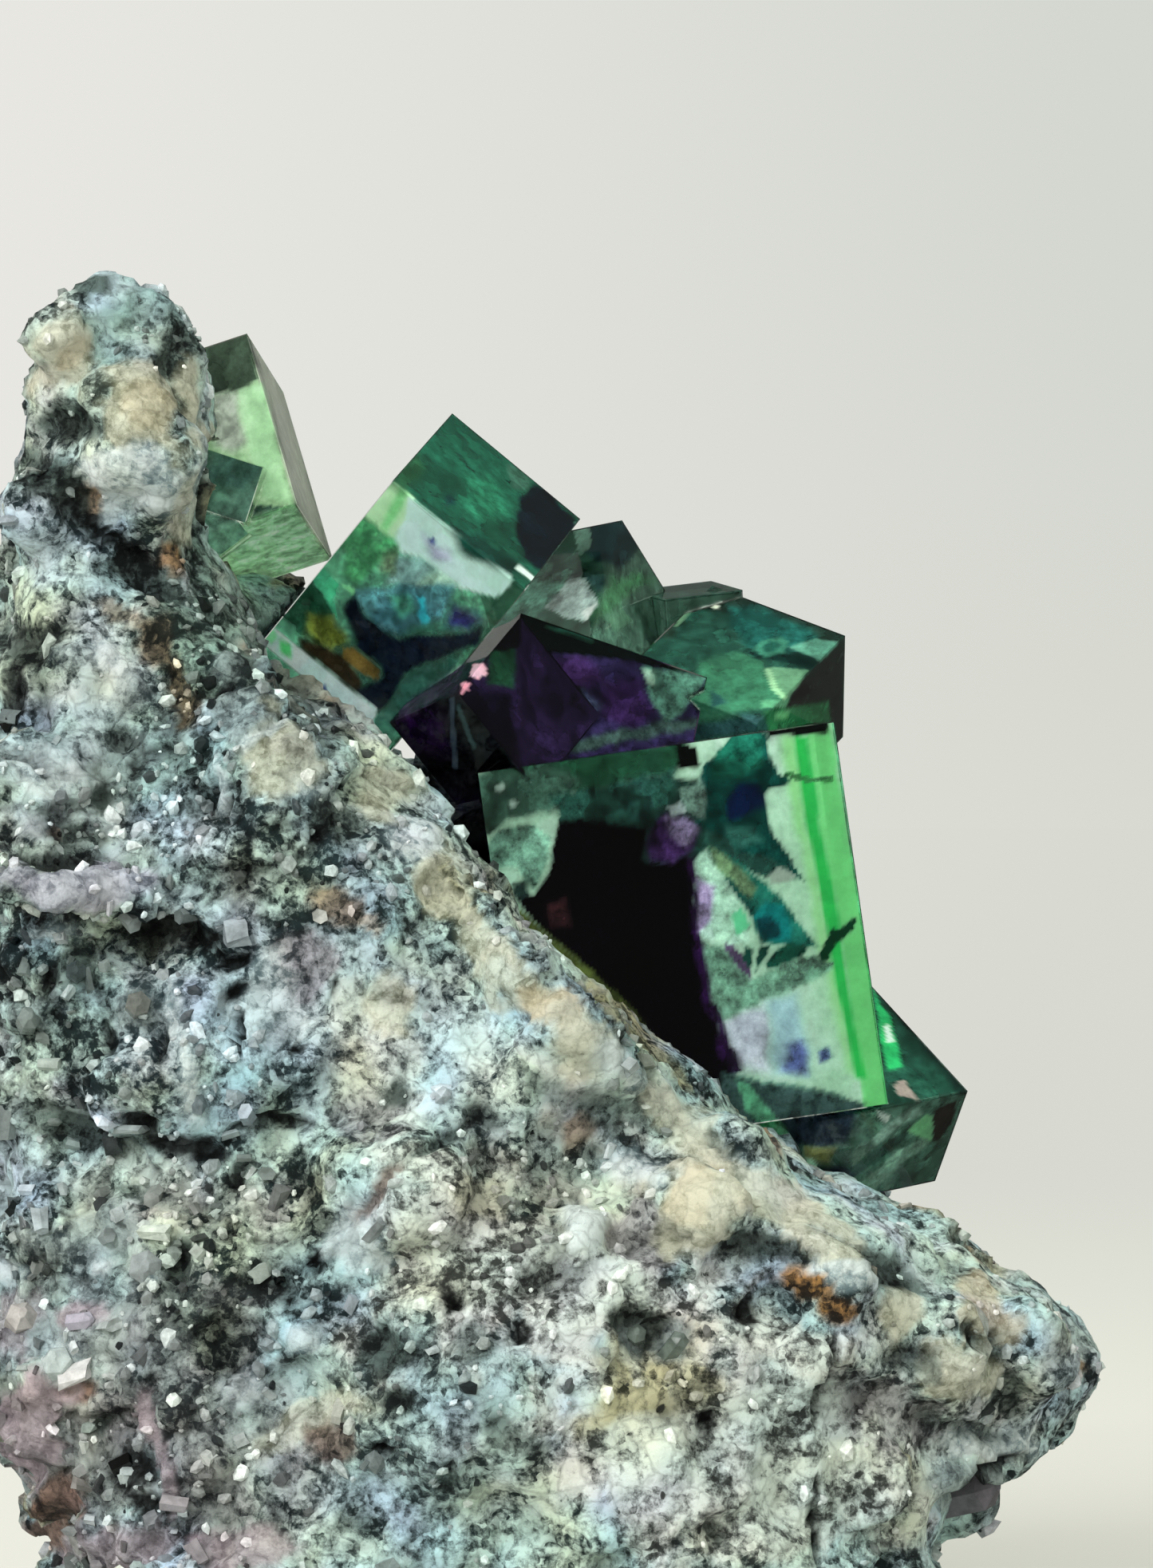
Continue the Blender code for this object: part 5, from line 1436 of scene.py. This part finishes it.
def make_world():
    """An even backdrop that also lights the specimen softly, with large soft boxes up on both sides."""
    world = bpy.data.worlds.new("soft_studio")
    world.use_nodes = True
    tree = world.node_tree
    tree.nodes.clear()
    direction = node(tree, "ShaderNodeTexCoord").outputs["Generated"]
    rays = node(tree, "ShaderNodeLightPath").outputs
    boxes = 0.0
    for aim, low, high, strength in SOFT_BOXES:
        toward = node(tree, "ShaderNodeVectorMath", {"operation": "DOT_PRODUCT"}, _0=direction,
                      _1=Vector(aim).normalized()).outputs["Value"]
        box = between(tree, toward, low, high, 0.0, strength, "SMOOTHSTEP")
        boxes = node(tree, "ShaderNodeMath", {"operation": "ADD"}, _0=box, _1=boxes).outputs["Value"]
    light = times_plus(tree, boxes, rays["Is Diffuse Ray"], 1.0)
    light = times_plus(tree, rays["Is Transmission Ray"], BACKLIGHT, light)
    within = node(tree, "ShaderNodeMath", {"operation": "MULTIPLY", "use_clamp": True},
                  _0=rays["Diffuse Depth"], _1=rays["Is Transmission Ray"]).outputs["Value"]
    light = times_plus(tree, within, INNER_LIGHT, light)
    light = times_plus(tree, rays["Is Glossy Ray"], MIRRORED - 1, light)
    shader = node(tree, "ShaderNodeBackground", Color=backdrop_tone(tree, direction), Strength=light)
    end = node(tree, "ShaderNodeOutputWorld")
    tree.links.new(shader.outputs["Background"], end.inputs["Surface"])
    bpy.context.scene.world = world


def make_floor():
    """A matt white sheet that goes over into the evenly lit backdrop."""
    deselect()
    bpy.ops.mesh.primitive_circle_add(vertices=96, radius=FLOOR_RADIUS, fill_type="NGON")
    floor = bpy.context.object
    floor.name = "floor"
    material, tree = new_material("matt_white_sheet")
    place_on = object_place(tree)
    away = node(tree, "ShaderNodeVectorMath", {"operation": "LENGTH"}, _0=place_on).outputs["Value"]
    direction = node(tree, "ShaderNodeVectorMath", {"operation": "NORMALIZE"}, _0=place_on)
    far = between(tree, away, MATT_RADIUS, GLOW_RADIUS, shape="SMOOTHSTEP")
    rays = node(tree, "ShaderNodeLightPath").outputs
    glow = node(tree, "ShaderNodeEmission", Color=backdrop_tone(tree, direction.outputs["Vector"]),
                Strength=times_plus(tree, rays["Is Transmission Ray"], BACKLIGHT, 1.0))
    matt = node(tree, "ShaderNodeBsdfPrincipled", Base_Color=shade(SHEET_TONE), Roughness=0.9)
    sheet = mixed_shader(tree, far, matt.outputs["BSDF"], glow.outputs["Emission"])
    dim = node(tree, "ShaderNodeMath", {"operation": "MULTIPLY"}, _0=rays["Is Glossy Ray"],
               _1=1.0 - MIRRORED).outputs["Value"]
    dark = node(tree, "ShaderNodeEmission", Strength=0.0)
    output(tree, mixed_shader(tree, dim, sheet, dark.outputs["Emission"]))
    floor.data.materials.append(material)


def make_lamp(name, spot, size, power, mirrored):
    light = bpy.data.lights.new(name, "AREA")
    light.shape = "DISK"
    light.size = size
    light.energy = power
    obj = bpy.data.objects.new(name, light)
    bpy.context.scene.collection.objects.link(obj)
    obj.location = spot
    obj.rotation_euler = (LAMP_AIM - obj.location).to_track_quat("-Z", "Y").to_euler()
    obj.visible_glossy = mirrored
    obj.visible_transmission = False


def make_camera():
    camera = bpy.data.cameras.new("camera")
    obj = bpy.data.objects.new("camera", camera)
    bpy.context.scene.collection.objects.link(obj)
    camera.sensor_width = SENSOR
    camera.lens = SENSOR * -EYE.y / (PHOTO_HEIGHT * MM_PER_PIXEL)
    camera.clip_start = MM
    camera.clip_end = 4 * FLOOR_RADIUS
    obj.location = place(EYE)
    obj.rotation_euler = (math.radians(90), 0, 0)
    bpy.context.scene.camera = obj


def main():
    make_camera()
    make_world()
    make_floor()
    for lamp in LAMPS:
        make_lamp(*lamp)
    for node_name, name, tint, density in FLUORITE:
        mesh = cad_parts[node_name].data
        mesh.materials.clear()
        mesh.materials.append(clear_fluorite(name, tint, density))
    make_zones()
    veil = veil_material()
    for row in VEILS:
        make_veil(*row, veil)
    for row in HIDDEN_VEILS:
        make_veil(*row, veil, False)
    make_rock()
    scene = bpy.context.scene
    scene.view_settings.view_transform = "Standard"
    scene.cycles.max_bounces = LIGHT_BOUNCES
    scene.cycles.transmission_bounces = LIGHT_BOUNCES
    scene.cycles.transparent_max_bounces = CLEAR_BOUNCES


main()
